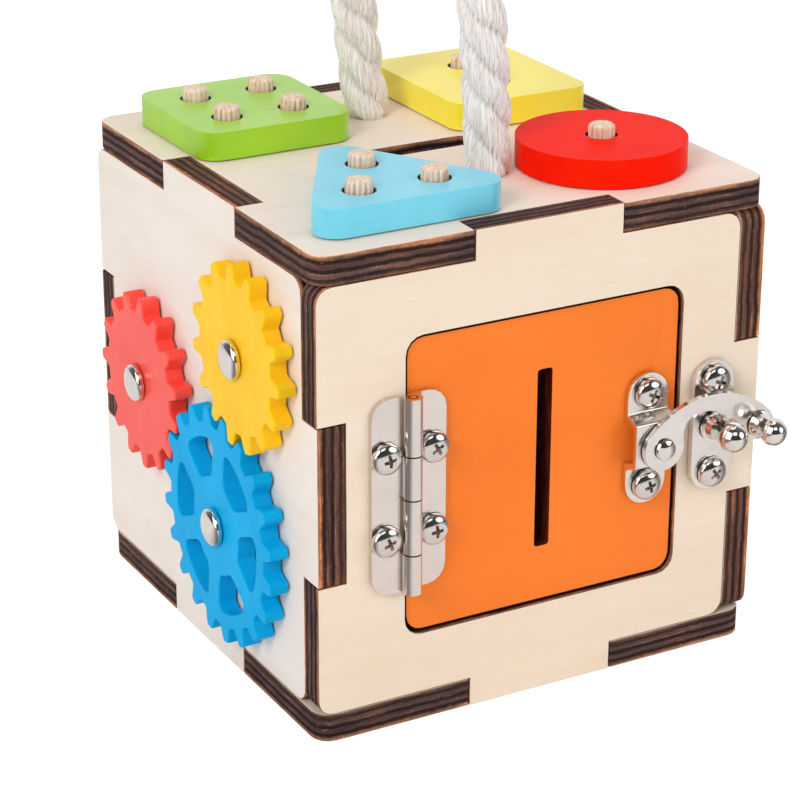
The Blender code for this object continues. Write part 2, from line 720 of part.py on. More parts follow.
def arm_arc_centre():
    """Centre of the arm's outer arc, which is tangent to its eye and to its end circle."""
    end = Vector((ARM_END_X, ARM_END_RISE))
    to_eye = ARM_ARC_RADIUS - EYE_RADIUS
    to_end = ARM_ARC_RADIUS - ARM_END_RADIUS
    span = end.length
    along = (to_eye ** 2 - to_end ** 2 + span ** 2) / (2 * span)
    drop = math.sqrt(to_eye ** 2 - along ** 2)
    direction = end.normalized()
    return direction * along + Vector((direction.y, -direction.x)) * drop


def latch_arm_mesh():
    """Crescent from the eye over the stud to the finger knob, with a hook that rests on the
    stud's neck; its centre is the pivot."""
    centre = arm_arc_centre()
    eye_angle = math.atan2(-centre.y, -centre.x)
    end_angle = math.atan2(ARM_END_RISE - centre.y, ARM_END_X - centre.x)
    outer = arc(centre.x, centre.y, ARM_ARC_RADIUS, eye_angle, end_angle, HOLE_SIDES)
    end = arc(ARM_END_X, ARM_END_RISE, ARM_END_RADIUS, end_angle, HOOK_HEEL_ANGLE, HOLE_SIDES // 2)

    seat = KEEPER_RISE - PIVOT_RISE + STUD_NECK_RADIUS + FIT_GAP
    hook_right = KEEPER_X - PIVOT_X
    low = HOOK_TOP - HOOK_RADIUS
    right_centre = hook_right - HOOK_RADIUS
    lip_angle = math.asin((seat - low) / HOOK_RADIUS)
    lip = (right_centre + HOOK_RADIUS * math.cos(lip_angle), seat)
    heel = (end[-1][0] + (seat - end[-1][1]) * -math.tan(HOOK_HEEL_ANGLE), seat)
    corner = rounded((
        (*end[-1], 0),
        (*heel, HOOK_HEEL_RADIUS),
        (*lip, 0),
    ), SMALL_CORNER_STEPS)
    right = arc(right_centre, low, HOOK_RADIUS, lip_angle, math.pi / 2, HOLE_SIDES // 4)
    left = arc(HOOK_LEFT + HOOK_RADIUS, low, HOOK_RADIUS, math.pi / 2, math.pi, HOLE_SIDES // 4)
    eye_start = math.acos(HOOK_LEFT / EYE_RADIUS)
    eye = arc(0, 0, EYE_RADIUS, eye_start, eye_angle - 2 * math.pi, DISC_SIDES // 2)
    outline = outer[1:] + end[1:-1] + corner + right[1:] + left + eye
    holes = [
        circle(0, 0, RIVET_SHANK_RADIUS + FIT_GAP),
        circle(ARM_END_X, ARM_END_RISE, KNOB_SPIGOT_RADIUS + FIT_GAP),
    ]
    return plate_mesh("latch_arm", [outline] + holes, ARM_THICKNESS)


def make_latch(cube, materials):
    chrome = materials["chrome"]
    pivot = on_front(PIVOT_X, PIVOT_RISE, ARM_UNDERSIDE)
    cube.axis("latch_pivot", pivot, "door_hinge")
    plate_place = on_front(LATCH_PLATE_X, LATCH_RISE, 0)
    cube.add("latch_door_plate", latch_plate_mesh(), chrome, plate_place, FRONT_TURN, "door_hinge")
    cube.add("latch_arm", latch_arm_mesh(), chrome, pivot, FRONT_TURN, "latch_pivot")

    spigot = ARM_THICKNESS + FIT_GAP
    knob_profile = [(0, KNOB_LENGTH)]
    tip = KNOB_LENGTH - KNOB_TIP_RADIUS
    for x, y in arc(0, tip, KNOB_TIP_RADIUS, math.pi / 2, -math.pi / 6, CORNER_STEPS)[1:]:
        knob_profile.append((x, y))
    knob_profile += [
        (KNOB_WAIST_RADIUS, tip - KNOB_TIP_RADIUS),
        (KNOB_BASE_RADIUS, 0),
        (KNOB_SPIGOT_RADIUS, 0),
        (KNOB_SPIGOT_RADIUS, -spigot),
        (0, -spigot),
    ]
    knob_place = on_front(PIVOT_X + ARM_END_X, PIVOT_RISE + ARM_END_RISE, ARM_TOP + FIT_GAP)
    knob = turned_mesh("knob", knob_profile)
    cube.add("latch_finger_knob", knob, chrome, knob_place, FRONT_TURN, "latch_pivot")

    bridge_under = BRIDGE_TOP - LATCH_PLATE_THICKNESS
    head_foot = ARM_TOP + FIT_GAP
    tail_top = bridge_under - FIT_GAP - head_foot
    rivet_profile = dome(RIVET_HEAD_RADIUS, 0, RIVET_HEAD_HEIGHT)[:-1] + [
        (RIVET_SHANK_RADIUS, 0),
        (RIVET_SHANK_RADIUS, tail_top),
        (RIVET_TAIL_RADIUS, tail_top),
        (RIVET_TAIL_RADIUS, tail_top - RIVET_TAIL_HEIGHT),
        (0, tail_top - RIVET_TAIL_HEIGHT),
    ]
    rivet = turned_mesh("rivet", rivet_profile)
    rivet_place = on_front(PIVOT_X, PIVOT_RISE, head_foot)
    cube.add("latch_pivot_rivet", rivet, chrome, rivet_place, FRONT_TURN, "door_hinge")

    screw = screw_mesh()
    plate_top = DOOR_FACE + FIT_GAP + LATCH_PLATE_THICKNESS
    for level, sign in (("lower", -1), ("upper", 1)):
        rise = LATCH_RISE + sign * LATCH_SCREW_SPACING / 2
        add_screw(cube, f"latch_door_screw_{level}", screw, materials, LATCH_PLATE_X, rise,
                  plate_top, "door_panel", DOOR_FACE, "door_hinge")


def make_keeper(cube, materials):
    chrome = materials["chrome"]
    shift = KEEPER_SCREW_SPACING / 2
    outlines = [
        stadium(0, 0, KEEPER_WIDTH, KEEPER_LENGTH, HOLE_SIDES),
        circle(0, shift, SCREW_SHANK_RADIUS + FIT_GAP),
        circle(0, -shift, SCREW_SHANK_RADIUS + FIT_GAP),
        circle(0, 0, STUD_SPIGOT_RADIUS + FIT_GAP),
    ]
    plate = plate_mesh("keeper", outlines, KEEPER_THICKNESS)
    place = on_front(KEEPER_X, KEEPER_RISE, FIT_GAP)
    cube.add("latch_frame_plate", plate, chrome, place, FRONT_TURN)

    plate_top = FIT_GAP + KEEPER_THICKNESS
    foot = plate_top + FIT_GAP
    ball = STUD_BALL_HEIGHT - foot
    neck_angle = -math.acos(STUD_NECK_RADIUS / STUD_BALL_RADIUS)
    profile = arc(0, ball, STUD_BALL_RADIUS, math.pi / 2, neck_angle, BALL_RINGS)
    profile[0] = (0, ball + STUD_BALL_RADIUS)
    profile += [
        (STUD_NECK_RADIUS, ARM_UNDERSIDE - foot),
        (STUD_CONE_RADIUS, STUD_FLANGE_HEIGHT),
        (STUD_FLANGE_RADIUS, STUD_FLANGE_HEIGHT),
        (STUD_FLANGE_RADIUS, 0),
        (STUD_SPIGOT_RADIUS, 0),
        (STUD_SPIGOT_RADIUS, -KEEPER_THICKNESS),
        (0, -KEEPER_THICKNESS),
    ]
    stud = turned_mesh("stud", profile)
    cube.add("latch_stud", stud, chrome, on_front(KEEPER_X, KEEPER_RISE, foot), FRONT_TURN)

    screw = screw_mesh()
    for level, sign in (("lower", -1), ("upper", 1)):
        rise = KEEPER_RISE + sign * shift
        add_screw(cube, f"latch_frame_screw_{level}", screw, materials, KEEPER_X, rise,
                  plate_top, "front_panel", 0)


def gear_centres():
    """Axle places on the left face, seen from outside."""
    centres = {"blue": (DRIVER_ACROSS, DRIVER_RISE)}
    for name, direction in (("yellow", YELLOW_DIRECTION), ("red", RED_DIRECTION)):
        across = DRIVER_ACROSS + PITCH_DISTANCE * math.cos(direction)
        rise = DRIVER_RISE + PITCH_DISTANCE * math.sin(direction)
        centres[name] = (across, rise)
    return centres


def follower_phase(direction):
    """Tooth angle of a follower whose gap faces the driver's tooth along the direction."""
    ratio = DRIVER_TEETH / FOLLOWER_TEETH
    return direction + math.pi + (direction - DRIVER_PHASE) * ratio - math.pi / FOLLOWER_TEETH


def gear_outline(teeth, pitch_radius, phase):
    """Rounded teeth whose flanks leave a gap to the partner's."""
    half = math.pi * pitch_radius / teeth / 2 - FLANK_GAP / 2
    tip = pitch_radius + TOOTH_REACH
    root = tip - TOOTH_HEIGHT
    corners = []
    for tooth in range(teeth):
        middle = phase + tooth * 2 * math.pi / teeth
        reaches = (
            (root, -half * TOOTH_ROOT_SHARE, TOOTH_ROOT_RADIUS),
            (tip, -half * TOOTH_TIP_SHARE, TOOTH_TIP_RADIUS),
            (tip, half * TOOTH_TIP_SHARE, TOOTH_TIP_RADIUS),
            (root, half * TOOTH_ROOT_SHARE, TOOTH_ROOT_RADIUS),
        )
        for radius, sideways, rounding in reaches:
            angle = middle + sideways / radius
            corners.append((radius * math.cos(angle), radius * math.sin(angle), rounding))
    return rounded(corners, SMALL_CORNER_STEPS)


def window_outline(middle):
    """Opening between two parallel-sided spokes of the driver."""
    half_spoke = SPOKE_WIDTH / 2
    reach = math.pi / WINDOW_COUNT
    outer = reach - math.asin(half_spoke / WINDOW_OUTER_RADIUS)
    inner = reach - math.asin(half_spoke / DRIVER_HUB_RADIUS)
    outer_arc = arc(0, 0, WINDOW_OUTER_RADIUS, middle - outer, middle + outer, CORNER_STEPS)
    inner_arc = arc(0, 0, DRIVER_HUB_RADIUS, middle + inner, middle - inner, SMALL_CORNER_STEPS)
    corners = []
    for run in (outer_arc, inner_arc):
        for place, (x, y) in enumerate(run):
            at_end = place in (0, len(run) - 1)
            corners.append((x, y, WINDOW_CORNER_RADIUS if at_end else 0))
    return rounded(corners, SMALL_CORNER_STEPS)


def make_gears(cube, materials):
    centres = gear_centres()
    bore = circle(0, 0, AXLE_RADIUS + FIT_GAP)
    windows = []
    for place in range(WINDOW_COUNT):
        windows.append(window_outline(WINDOW_PHASE + place * 2 * math.pi / WINDOW_COUNT))
    outlines = {"blue": [gear_outline(DRIVER_TEETH, DRIVER_PITCH_RADIUS, DRIVER_PHASE), bore] + windows}
    for colour, direction in (("yellow", YELLOW_DIRECTION), ("red", RED_DIRECTION)):
        teeth = gear_outline(FOLLOWER_TEETH, FOLLOWER_PITCH_RADIUS, follower_phase(direction))
        outlines[colour] = [teeth, bore]
    head_foot = GEAR_OUTER + GEAR_RUNNING_GAP
    nut_reach = PLY + FIT_GAP + NUT_THICKNESS
    tail = -head_foot - nut_reach - AXLE_TAIL
    profile = dome(AXLE_HEAD_RADIUS, AXLE_HEAD_RIM, AXLE_HEAD_HEIGHT)
    profile += [(AXLE_RADIUS, 0), (AXLE_RADIUS, tail), (0, tail)]
    axle = turned_mesh("axle", profile)
    nut_corners = circle(0, 0, NUT_ACROSS / math.sqrt(3), 6)
    nut = plate_mesh("nut", [nut_corners, circle(0, 0, AXLE_RADIUS + FIT_GAP)], NUT_THICKNESS)
    for colour, (across, rise) in centres.items():
        gear = plate_mesh(colour + "_gear", outlines[colour], GEAR_THICKNESS)
        place = on_left(across, rise, GEAR_RUNNING_GAP)
        cube.add(f"{colour}_gear", gear, materials[f"{colour}_gear_paint"], place, LEFT_TURN)
        place = on_left(across, rise, head_foot)
        cube.add(f"{colour}_gear_axle", axle, materials["chrome"], place, LEFT_TURN)
        place = on_left(across, rise, -nut_reach)
        cube.add(f"{colour}_gear_nut", nut, materials["hinge_steel"], place, LEFT_TURN)


def make_pegs(cube, materials):
    length = PLY + PEG_RISE
    slim = PEG_RADIUS - PEG_CHAMFER
    profile = (
        (0, length),
        (slim, length),
        (PEG_RADIUS, length - PEG_CHAMFER),
        (PEG_RADIUS, PEG_CHAMFER),
        (slim, 0),
        (0, 0),
    )
    peg = turned_mesh("peg", profile, HOLE_SIDES)
    for block, (place, pegs) in peg_groups().items():
        for number, (x, y) in enumerate(pegs, 1):
            foot = (place[0] + x, place[1] + y, CUBE_SIDE - PLY)
            cube.add(f"{block}_peg_{number}", peg, materials["beech"], foot)


def make_blocks(cube, materials):
    triangle_corners = arc(0, 0, TRIANGLE_REACH, math.pi / 2, math.pi / 2 + 2 * math.pi, 3)[:-1]
    outlines = {
        "green_square": rounded_box(0, 0, SQUARE_SIDE, SQUARE_SIDE, SQUARE_RADIUS),
        "blue_triangle": rounded([(x, y, TRIANGLE_RADIUS) for x, y in triangle_corners], 2 * CORNER_STEPS),
        "yellow_rectangle": rounded_box(0, 0, RECTANGLE_WIDTH, RECTANGLE_DEPTH, RECTANGLE_RADIUS),
        "red_disc": circle(0, 0, DISC_RADIUS, DISC_SIDES),
    }
    for block, (place, pegs) in peg_groups().items():
        holes = [circle(x, y, BLOCK_HOLE_RADIUS) for x, y in pegs]
        mesh = plate_mesh(block, [outlines[block]] + holes, BLOCK_THICKNESS)
        part = cube.add(f"{block}_block", mesh, materials[f"{block}_paint"],
                        (place[0], place[1], CUBE_SIDE + FIT_GAP))
        bevel = part.modifiers.new("Eased edges", "BEVEL")
        bevel.width = BLOCK_EDGE
        bevel.segments = 1
        bevel.limit_method = "ANGLE"
        bevel.angle_limit = EASED_ANGLE


def smooth_route(route, step):
    """Points along a smooth curve through the route, about one step apart."""
    knots = [Vector(point) for point in route]
    knots = [2 * knots[0] - knots[1]] + knots + [2 * knots[-1] - knots[-2]]
    points = []
    for before, start, end, after in zip(knots, knots[1:], knots[2:], knots[3:]):
        pieces = max(1, round((end - start).length / step))
        for piece in range(pieces):
            t = piece / pieces
            bend = 2 * before - 5 * start + 4 * end - after
            twist = 3 * start - before - 3 * end + after
            points.append((2 * start + (end - before) * t + bend * t ** 2 + twist * t ** 3) / 2)
    points.append(knots[-2])
    return points


def make_rope(cube, materials):
    lift = Vector((0, 0, CUBE_SIDE))
    points = [point + lift for point in smooth_route(ROPE_ROUTE, ROPE_POINT_STEP)]
    curve = bpy.data.curves.new("rope", "CURVE")
    curve.dimensions = "3D"
    curve.use_fill_caps = True
    curve.bevel_depth = ROPE_RADIUS
    curve.bevel_resolution = ROPE_BEVEL_RESOLUTION
    spline = curve.splines.new("POLY")
    spline.points.add(len(points) - 1)
    for node, point in zip(spline.points, points):
        node.co = (*point, 1)
        height = max(0, point.z - CUBE_SIDE)
        swell = min(1, height / ROPE_SWELL_LENGTH)
        node.radius = (ROPE_HOLE_ROPE_RADIUS + (ROPE_RADIUS - ROPE_HOLE_ROPE_RADIUS) * swell) / ROPE_RADIUS
    rope = read_mesh(bpy.data.objects.new("rope", curve))
    cube.add("rope_handle", rope, materials["cotton"])

    profile = arc(0, 0, KNOT_RADIUS, math.pi / 2, -math.pi / 2, KNOT_RINGS)
    profile[0] = (0, KNOT_RADIUS)
    profile[-1] = (0, -KNOT_RADIUS)
    squash = KNOT_HEIGHT / (2 * KNOT_RADIUS)
    knot = turned_mesh("knot", [(radius, height * squash) for radius, height in profile], HOLE_SIDES)
    middle = CUBE_SIDE - PLY - FIT_GAP - KNOT_HEIGHT / 2
    for side, end in (("front", ROPE_ROUTE[0]), ("back", ROPE_ROUTE[-1])):
        cube.add(f"rope_knot_{side}", knot, materials["cotton"], (end[0], end[1], middle))


def main():
    clear_scene()
    materials = {
        "plywood": new_material("plywood", "EFE3D2", 0.6),
        "orange_paint": new_material("orange_paint", "FF842C", 0.45),
        "hinge_steel": new_material("hinge_steel", "C9C5C0", 0.3, 1.0),
        "screw_steel": new_material("screw_steel", "D6D2CE", 0.18, 1.0),
        "chrome": new_material("chrome", "DDDAD6", 0.12, 1.0),
        "blue_gear_paint": new_material("blue_gear_paint", "1BA4E6", 0.45),
        "yellow_gear_paint": new_material("yellow_gear_paint", "FFC41E", 0.45),
        "red_gear_paint": new_material("red_gear_paint", "F8453F", 0.45),
        "green_square_paint": new_material("green_square_paint", "A6D452", 0.4),
        "blue_triangle_paint": new_material("blue_triangle_paint", "8AD8F0", 0.4),
        "yellow_rectangle_paint": new_material("yellow_rectangle_paint", "F8DF70", 0.4),
        "red_disc_paint": new_material("red_disc_paint", "F83A26", 0.4),
        "beech": new_material("beech", "E8CFAA", 0.6),
        "cotton": new_material("cotton", "F1EBE0", 0.9),
    }
    cube = Assembly("activity_cube")
    make_box(cube, materials)
    make_door(cube, materials)
    make_hinge(cube, materials)
    make_latch(cube, materials)
    make_keeper(cube, materials)
    make_gears(cube, materials)
    make_pegs(cube, materials)
    make_blocks(cube, materials)
    make_rope(cube, materials)


main()
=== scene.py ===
"""Looks of the wooden activity cube: finishes, rope, gears, blocks, pegs and fittings,
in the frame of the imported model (metres, +Z up, door at -Y, gears at -X)."""

from math import atan2, cos, hypot, pi, radians, sin, sqrt, tau

import bmesh
import bpy
from mathutils import Matrix, Vector


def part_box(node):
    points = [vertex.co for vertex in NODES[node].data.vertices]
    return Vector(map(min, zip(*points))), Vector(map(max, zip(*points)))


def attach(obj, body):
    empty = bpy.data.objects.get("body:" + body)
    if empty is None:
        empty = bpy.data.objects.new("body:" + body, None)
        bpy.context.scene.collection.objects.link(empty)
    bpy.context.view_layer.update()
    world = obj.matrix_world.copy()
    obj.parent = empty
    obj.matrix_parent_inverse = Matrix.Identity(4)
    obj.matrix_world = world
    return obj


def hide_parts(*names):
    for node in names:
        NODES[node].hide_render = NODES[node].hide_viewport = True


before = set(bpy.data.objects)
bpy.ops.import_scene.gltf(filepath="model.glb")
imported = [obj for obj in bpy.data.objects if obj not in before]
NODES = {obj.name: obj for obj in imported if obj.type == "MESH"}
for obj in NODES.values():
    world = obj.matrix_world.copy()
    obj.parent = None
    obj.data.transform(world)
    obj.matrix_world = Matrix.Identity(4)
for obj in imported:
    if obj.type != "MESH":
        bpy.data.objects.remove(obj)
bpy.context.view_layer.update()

# Photograph
IMAGE_SIDE = 800
FOCAL_PIXELS = 2756.2
SENSOR_WIDTH = 36.0
CAMERA_PLACE = Vector((-0.2634, -0.4668, 0.2669))
CAMERA_FORWARD = Vector((0.4476, 0.8078, -0.3835))
CAMERA_ROLL = radians(0.165)
CAMERA_RANGE = (0.01, 20.0)

# Studio: name, place, size, power and tint of each lamp
LAMPS = (
    ("key", (-1.0, -0.6, 0.85), 0.55, 7.8, (1.0, 0.985, 0.965)),
    ("fill", (0.85, -0.95, 0.55), 0.9, 3.5, (1.0, 0.985, 0.965)),
    ("top", (0.1, 0.25, 1.3), 0.9, 2.2, (1.0, 1.0, 1.0)),
)
LAMP_TARGET = (0.0, 0.0, 0.05)
SKY_STRENGTH = 0.58
FLOOR_LIFT = 0.58
FLOOR_GLOW = 1.38
FLOOR_REACH = 3.0
FLOOR_DROP = 0.0002
WHITE = (1, 1, 1, 1)

# What shiny surfaces see: a room that turns white behind the object, two soft boxes (facing, half
# width, half height), and a floor that dims to the sides in front of the door
BEHIND = (0.48, 0.86, 0.17)
ROOM = ((0.30, 0.05), (0.70, (0.16, 0.155, 0.15, 1)), (0.86, 0.92))
SOFT_BOXES = (((-0.25, -1.0, 1.15), 0.24, 0.20), ((-1.0, -0.25, 0.55), 0.42, 0.5))
SOFT_BOX_GLOW = (1.6, 1.6, 1.6, 1.0)
FLOOR_DIM = ((0.10, 0.85), (0.26, 0.10), (0.80, 0.0), (0.92, 0.80))
FLOOR_SHADE = (0.10, 0.09, 0.085, 1)
FLOOR_DIM_START = 0.25

# Sizes shared with the frame, in metres
CUBE_SIDE = 0.1000
PLY = 0.0058
HALF = CUBE_SIDE / 2
GAP = 0.0003
DOORWAY_REACH = 0.0335

# Rope, measured from the top panel's upper face
ROPE_ROUTE = (
    (0.0031, -0.0210, -0.0058),
    (0.0031, -0.0210, 0.0000),
    (0.0027, -0.0212, 0.0120),
    (0.0013, -0.0215, 0.0300),
    (-0.0007, -0.0207, 0.0480),
    (-0.0027, -0.0143, 0.0628),
    (-0.0039, 0.0020, 0.0700),
    (-0.0041, 0.0184, 0.0630),
    (-0.0033, 0.0249, 0.0480),
    (-0.0022, 0.0256, 0.0300),
    (-0.0006, 0.0253, 0.0120),
    (0.0011, 0.0250, 0.0000),
    (0.0011, 0.0250, -0.0058),
)
ROPE_DIAMETER = 0.0094
ROPE_WAIST_SHARE = 0.84
ROPE_SWELL_LENGTH = 0.0008
ROPE_LAY = 0.0255
ROPE_STRANDS = 3
ROPE_STEP = 0.0010
ROPE_SIDES = 300
ROPE_SWAY = 0.16
SWAY_FINENESS = 160.0
GROOVE_DEPTH = 0.0014
GROOVE_SHARPNESS = 2.8
YARN_DEPTH = 0.00030
YARN_FINENESS = 9.5
YARN_REACH = 0.0090
YARN_SHIFT = 7.3
YARN_CREASE = 9.0
VALLEY_SHARPNESS = 12.0
GROOVE_SHADE = 0.40
YARN_SHADE = 0.20
KNOT_RING_RADIUS = 0.0040
KNOT_TUBE_RADIUS = 0.0025
KNOT_ROPE_SHARE = 0.66
KNOT_POINTS = 40
KNOT_START = radians(24)
KNOT_SWEEP = tau - radians(52)
KNOT_HANG = 0.0040
KNOT_TAIL = (0.0010, -0.0035, -0.0020)

# Gears, seen from outside
GEAR_THICKNESS = 0.0040
GEAR_GAP = 0.0004
GEAR_EDGE = 0.00045
GEAR_FINENESS = 28
DRIVER_TEETH = 20
FOLLOWER_TEETH = 15
PITCH_DISTANCE = 0.0406
TOOTH_HEIGHT = 0.0034
TIP_CLEARANCE = 0.0004
TOOTH_TIP_SHARE = 0.20
TOOTH_ROOT_SHARE = 0.68
DRIVER_PLACE = (0.0139, 0.0330)
DRIVER_PHASE = radians(8.1)
FOLLOWER_DIRECTIONS = {"yellow": radians(75.8), "red": radians(153.6)}
AXLE_RADIUS = 0.0020
AXLE_LENGTH = 0.0149
AXLE_HEAD_RADIUS = 0.0039
AXLE_HEAD_RIM = 0.0007
AXLE_HEAD_HEIGHT = 0.0020
WINDOWS = 6
WINDOW_PHASE = radians(53.5)
WINDOW_OUTER = 0.0182
WINDOW_INNER = 0.0102
WINDOW_CORNER = 0.0019
SPOKE_WIDTH = 0.0050
WINDOW_POINTS = 90

# Blocks and pegs
BLOCK_THICKNESS = 0.0058
BLOCK_EDGE = 0.0006
BLOCK_HOLE_RADIUS = 0.0032
# Walls of the block holes within this radius get painted shade of the gap round each peg
PEG_GAP_SHADE_RADIUS = BLOCK_HOLE_RADIUS + BLOCK_EDGE / 2
SQUARE_SIDE = 0.0343
SQUARE_RADIUS = 0.0050
SQUARE_PLACE = (-0.0267, 0.0268)
SQUARE_PEG_SPACING = 0.0150
TRIANGLE_WIDTH = 0.0392
TRIANGLE_RADIUS = 0.0046
TRIANGLE_PLACE = (-0.0250, -0.0305)
TRIANGLE_PEG_SPACING = 0.0162
RECTANGLE_SIZE = (0.0323, 0.0384)
RECTANGLE_RADIUS = 0.0040
RECTANGLE_PLACE = (0.0269, 0.0230)
RECTANGLE_PEG_SPACING = 0.0133
DISC_RADIUS = 0.0172
DISC_PLACE = (0.0258, -0.0270)
PEG_RADIUS = 0.0027
PEG_RISE = 0.0085
PEG_FLUTES = 14
PEG_FLUTE_DEPTH = 0.00030
PEG_ROUNDING = 0.0011
PEG_ROUNDING_HEIGHT = 0.75 * PEG_ROUNDING
PEG_ROUNDING_STEPS = 7
PEG_RING_SHARE = 0.6
PEG_FLUTE_SIDES = 8
PEG_PLAIN_SHARE = 0.45
PEG_UNEVENNESS = 0.28
PEG_GROOVE_SHADE = 0.75
PEG_TURN = radians(37)

# Screws
SCREW_RADIUS = 0.0032
SCREW_HEIGHT = 0.0020
SCREW_RIM = 0.0005
SCREW_FULLNESS = 0.9
SHANK_RADIUS = 0.0010
SHANK_LENGTH = 0.0050
CROSS_SPAN = 0.0043
CROSS_WIDTH = 0.0011
CROSS_DEPTH = 0.0007
CROSS_TAPER = 0.35
RECESS_MARGIN = CROSS_WIDTH / 8
CROSS_TURNS = {"frame": (20, 10, 35, -20), "door": (5, 30, 15, -25)}

# Widths of the eased edges
PLY_EASE = 0.00018
DOOR_EASE = 0.0003
LEAF_EASE = 0.00012
BRIDGE_EASE = 0.0002
PLATE_EASE = 0.0003
TURNED_EASE = 0.0002

# Burnt ply edge: shade by depth, then warmth, soot and ticks that multiply it
EDGE_LAYERS = (
    (0.00, "B48E6C"), (0.10, "9C7656"), (0.16, "6A4634"), (0.20, "25130F"), (0.28, "2B1915"),
    (0.34, "624B46"), (0.44, "58433D"), (0.50, "281714"), (0.58, "2C1B18"), (0.64, "68534B"),
    (0.75, "604A41"), (0.81, "301F1B"), (0.88, "3E2B25"), (1.00, "786250"))
EDGE_WARMTH = ((0.38, (0.76, 0.75, 0.82, 1)), (0.52, (1.0, 0.96, 0.95, 1)), (0.66, (1.3, 1.12, 1.0, 1)))
EDGE_SOOT = (
    (0.34, (0.40, 0.38, 0.38, 1)), (0.47, (0.9, 0.88, 0.87, 1)), (0.58, (1.25, 1.2, 1.18, 1)),
    (0.70, (3.2, 3.0, 2.8, 1)))
EDGE_TICKS = ((0.36, 0.66), (0.56, (1.1, 1.08, 1.08, 1)), (0.74, (1.9, 1.75, 1.7, 1)))
EDGE_WAVER = 0.20
DARK_BURN = (0.92, 0.86, 0.90, 1.0)
BROWN_BURN = (1.35, 1.02, 0.86, 1.0)

# Birch faces: three shades of the grain and one of its blotches
FRONT_BIRCH = ("EDD9C2", "F1DFCA", "F5E5D3", "F2D8C4")
TOP_BIRCH = ("ECDACA", "F2E2D4", "F6EADF", "F0D8CA")
# The left tones are whiter than the front's: painted light of the stronger, cooler light on the left
# panel.
LEFT_BIRCH_PAINTED_LIGHT = ("EADFD4", "EFE6DD", "F4EEE8", "F2DDD2")

# Paints: name, light and deep shade, grain axis, gloss and bloom
GEAR_PAINTS = {
    "blue": ("gear_blue", "10B2EE", "04A2E0", 2, 0.04, 0.0),
    "yellow": ("gear_yellow", "FFD226", "FDBE06", 2, 0.12, 0.0),
    "red": ("gear_red", "FF5040", "F83A2E", 2, 0.4, 0.15),
}
BLOCK_PAINTS = {
    "green_square": ("square_green", "A4D806", "90CA00", 0, 0.78, 0.3),
    "blue_triangle": ("triangle_blue", "78DAF2", "64CEEA", 0, 0.8, 0.35),
    "yellow_rectangle": ("rectangle_yellow", "FFF040", "FFE42C", 0, 0.6, 0.45),
    "red_disc": ("disc_red", "FF2408", "F61404", 0, 0.018, 0.0),
}

# Fineness of curved shapes, and the angles from which an edge is flat, sharp or eased
FINE_SIDES = 64
CORNER_STEPS = 10
DOME_STEPS = 12
CORNERS = ((-1, -1), (1, -1), (1, 1), (-1, 1))
WELD = 0.000001
FLAT_ANGLE = radians(0.2)
SHARP_ANGLE = radians(38)
SHARP_CUT = radians(35)
SHARP_TURNING = radians(40)
EASED_ANGLE = radians(40)
EASED_GEAR_ANGLE = radians(60)


def linear(channel):
    """Linear share of one sRGB channel."""
    return channel / 12.92 if channel <= 0.04045 else ((channel + 0.055) / 1.055) ** 2.4


def as_colour(shade):
    """Linear colour of a six-digit sRGB value or a grey level; anything else is passed on."""
    if isinstance(shade, float):
        return shade, shade, shade, 1.0
    if isinstance(shade, str):
        return tuple(linear(channel / 255) for channel in bytes.fromhex(shade)) + (1.0,)
    return shade


def node(tree, kind, inputs=None, **settings):
    """Adds a node; an input is given by its name or number, as a value or another node's output."""
    made = tree.nodes.new(kind)
    for name, value in settings.items():
        setattr(made, name, value)
    for name, value in (inputs or {}).items():
        if isinstance(value, bpy.types.NodeSocket):
            tree.links.new(value, made.inputs[name])
        else:
            made.inputs[name].default_value = value
    return made


def wired(tree, kind, inputs=None, **settings):
    """First output of a new node."""
    return node(tree, kind, inputs, **settings).outputs[0]


def built(tree, kind, inputs=None, **settings):
    """First output of a new geometry node."""
    return wired(tree, "GeometryNode" + kind, inputs, **settings)


def maths(tree, operation, first, second=0.0, clamp=False):
    return wired(tree, "ShaderNodeMath", {0: first, 1: second}, operation=operation, use_clamp=clamp)


def plus(tree, first, second, clamp=False):
    return maths(tree, "ADD", first, second, clamp)


def minus(tree, first, second, clamp=False):
    return maths(tree, "SUBTRACT", first, second, clamp)


def times(tree, first, second):
    return maths(tree, "MULTIPLY", first, second)


def blended(tree, *shares):
    """Sum of values, each times its share."""
    total = times(tree, *shares[0])
    for value, share in shares[1:]:
        total = plus(tree, total, times(tree, value, share))
    return total


def fit(tree, value, low, high, start=0.0, end=1.0):
    """The value carried from one range to another and held at its ends."""
    return wired(tree, "ShaderNodeMapRange", {0: value, 1: low, 2: high, 3: start, 4: end})


def split(tree, value):
    return node(tree, "ShaderNodeSeparateXYZ", {0: value}).outputs


def vector(tree, x=0.0, y=0.0, z=0.0):
    return wired(tree, "ShaderNodeCombineXYZ", {0: x, 1: y, 2: z})


def vector_maths(tree, operation, first, second=(0.0, 0.0, 0.0), scale=1.0):
    inputs = {0: first, "Scale": scale} if operation == "SCALE" else {0: first, 1: second}
    return wired(tree, "ShaderNodeVectorMath", inputs, operation=operation)


def wrapped(tree, around, fineness, height):
    """Place on a drum, so that a pattern closes on itself the whole way round a rope."""
    angle = times(tree, around, tau)
    x = times(tree, maths(tree, "COSINE", angle), fineness)
    y = times(tree, maths(tree, "SINE", angle), fineness)
    return vector(tree, x, y, height)


def along_direction(tree, direction, axis):
    """How far a direction of the world reaches along an axis."""
    inputs = {0: direction, 1: tuple(axis)}
    return node(tree, "ShaderNodeVectorMath", inputs, operation="DOT_PRODUCT").outputs["Value"]


def mix(tree, factor, first, second, blend="MIX"):
    inputs = {0: factor, 6: as_colour(first), 7: as_colour(second)}
    return node(tree, "ShaderNodeMix", inputs, data_type="RGBA", blend_type=blend).outputs[2]


def ramp(tree, value, stops):
    made = node(tree, "ShaderNodeValToRGB", {0: value})
    band = made.color_ramp
    while len(band.elements) < len(stops):
        band.elements.new(1.0)
    for element, (place, shade) in zip(band.elements, stops):
        element.position = place
        element.color = as_colour(shade)
    return made.outputs[0]


